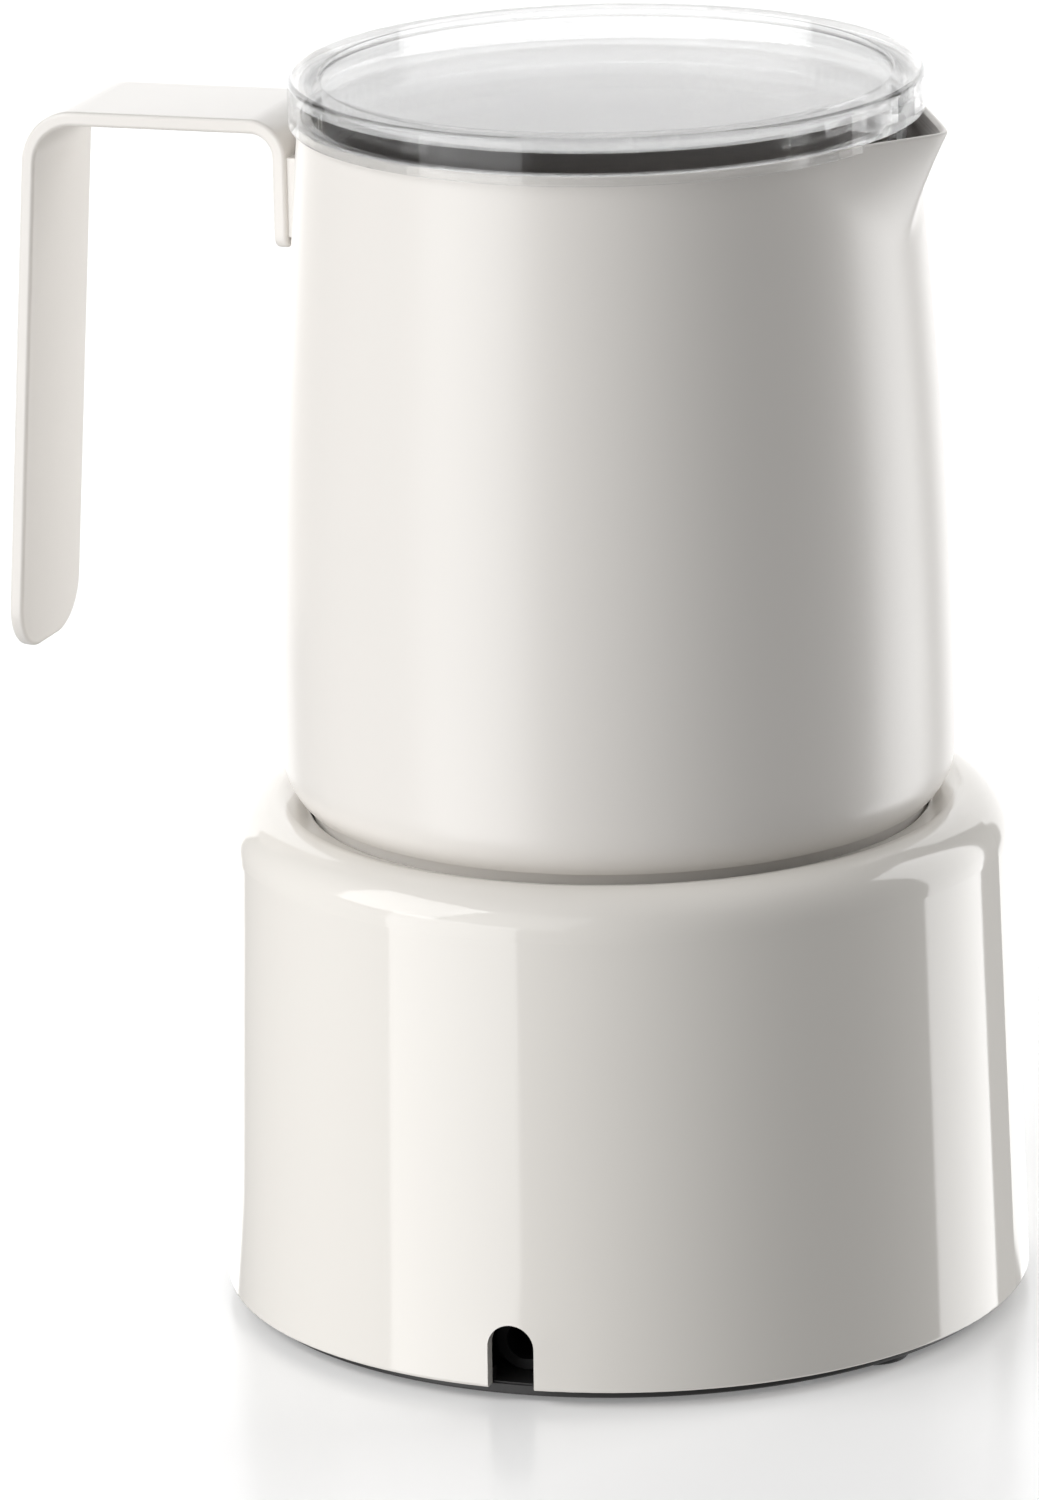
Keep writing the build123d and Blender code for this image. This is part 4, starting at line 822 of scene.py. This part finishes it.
class FROTHER_OT_stage(bpy.types.Operator):
    """Set the floor, the studio lights and the camera"""

    bl_idname = "frother.stage"
    bl_label = "Stage"

    def execute(self, context):
        scene = context.scene
        stage = scene.frother_stage
        self.lay_floor(scene, stage)
        self.hang_lights(scene, stage)
        self.aim_camera(scene, stage)
        scene.view_settings.view_transform = "Standard"
        return {"FINISHED"}

    def lay_floor(self, scene, stage):
        shape = bmesh.new()
        bmesh.ops.create_grid(shape, x_segments=1, y_segments=1, size=FLOOR_HALF_WIDTH)
        bmesh.ops.translate(shape, verts=shape.verts, vec=(0.0, 0.0, FLOOR_Z - FLOOR_GAP))
        mesh = bpy.data.meshes.new("floor")
        shape.to_mesh(mesh)
        shape.free()
        floor = bpy.data.objects.new("floor", mesh)
        scene.collection.objects.link(floor)
        pale = new_material(
            "floor_pale", stage.floor, roughness=0.20, IOR=1.35,
            Emission_Color=WHITE, Emission_Strength=stage.floor_glow,
        )
        mesh.materials.append(pale)
        # the floor only receives: it neither lights the object nor hides the softboxes from it
        floor.visible_glossy = False
        floor.visible_diffuse = False
        floor.visible_shadow = False

    def hang_lights(self, scene, stage):
        world = bpy.data.worlds.new("surround")
        world.use_nodes = True
        background = world.node_tree.nodes["Background"]
        background.inputs["Color"].default_value = WHITE
        background.inputs["Strength"].default_value = stage.surround
        scene.world = world
        low = -0.12
        on_axis = 0.01
        for name, brightness, degrees, distance, size, height, aim_z in (
            ("key", stage.key, -50.0, 1.1, (0.80, 1.2), low, low),
            ("high", stage.high, -75.0, 1.3, (1.0, 1.0), 1.0, 0.1),
            ("fill", stage.fill, -35.0, 1.3, (1.0, 1.0), 1.0, 0.1),
            ("rim", stage.rim, 112.5, 1.1, (0.61, 1.9), 0.2, 0.2),
            ("top", stage.top, 0.0, on_axis, (1.6, 1.6), 1.5, 0.0),
            ("bounce", stage.bounce, 0.0, on_axis, (1.6, 1.6), -0.6, 0.0),
            ("back", stage.back, 180.0, 1.9, (2.6, 2.4), 0.5, 0.5),
        ):
            softbox(name, stage, brightness, math.radians(degrees), distance, size, height, aim_z)

    def aim_camera(self, scene, stage):
        towards, right = camera_turn(stage)
        pitch, yaw, roll = 0.279920, -0.009917, -0.022305  # radians: down, to the right, right side up
        ahead = -towards
        level = ahead * math.cos(yaw) + right * math.sin(yaw)
        forward = level * math.cos(pitch) - Vector((0, 0, math.sin(pitch)))
        side = right * math.cos(yaw) - ahead * math.sin(yaw)
        up = side.cross(forward)
        turned_side = side * math.cos(roll) + up * math.sin(roll)
        turned_up = up * math.cos(roll) - side * math.sin(roll)
        camera = bpy.data.cameras.new("camera")
        camera.lens = stage.lens
        camera.sensor_width = FILM_WIDTH
        camera.sensor_fit = "AUTO"
        camera.clip_end = FAR_CLIP
        holder = bpy.data.objects.new("camera", camera)
        scene.collection.objects.link(holder)
        axes = Matrix((turned_side, turned_up, -forward)).transposed().to_4x4()
        place = towards * stage.distance + Vector((0, 0, stage.height))
        holder.matrix_world = Matrix.Translation(place) @ axes
        scene.camera = holder


SETTINGS = {
    "frother_coating": FrotherCoating,
    "frother_jug": FrotherJug,
    "frother_spout": FrotherSpout,
    "frother_springs": FrotherSprings,
    "frother_whisk": FrotherWhisk,
    "frother_stage": FrotherStage,
}
OPERATORS = (
    FROTHER_OT_housing,
    FROTHER_OT_underside,
    FROTHER_OT_seat,
    FROTHER_OT_heating,
    FROTHER_OT_drive,
    FROTHER_OT_electronics,
    FROTHER_OT_jug,
    FROTHER_OT_lid,
    FROTHER_OT_springs,
    FROTHER_OT_whisk,
    FROTHER_OT_stage,
)


class FROTHER_PT_panel(bpy.types.Panel):
    """Lists the frother's settings and makers"""

    bl_label = "Milk frother"
    bl_idname = "FROTHER_PT_panel"
    bl_space_type = "VIEW_3D"
    bl_region_type = "UI"
    bl_category = "Frother"

    def draw(self, context):
        for setting in SETTINGS:
            group = getattr(context.scene, setting)
            column = self.layout.column()
            for name in group.__annotations__:
                column.prop(group, name)
        for operator in OPERATORS:
            self.layout.operator(operator.bl_idname)


CLASSES = (*SETTINGS.values(), *OPERATORS, FROTHER_PT_panel)


def register():
    for item in CLASSES:
        bpy.utils.register_class(item)
    for setting, group in SETTINGS.items():
        setattr(bpy.types.Scene, setting, PointerProperty(type=group))


def unregister():
    for setting in reversed(SETTINGS):
        delattr(bpy.types.Scene, setting)
    for item in reversed(CLASSES):
        bpy.utils.unregister_class(item)


def main():
    register()
    for operator in OPERATORS:
        group, name = operator.bl_idname.split(".")
        getattr(getattr(bpy.ops, group), name)()


if __name__ == "__main__":
    main()
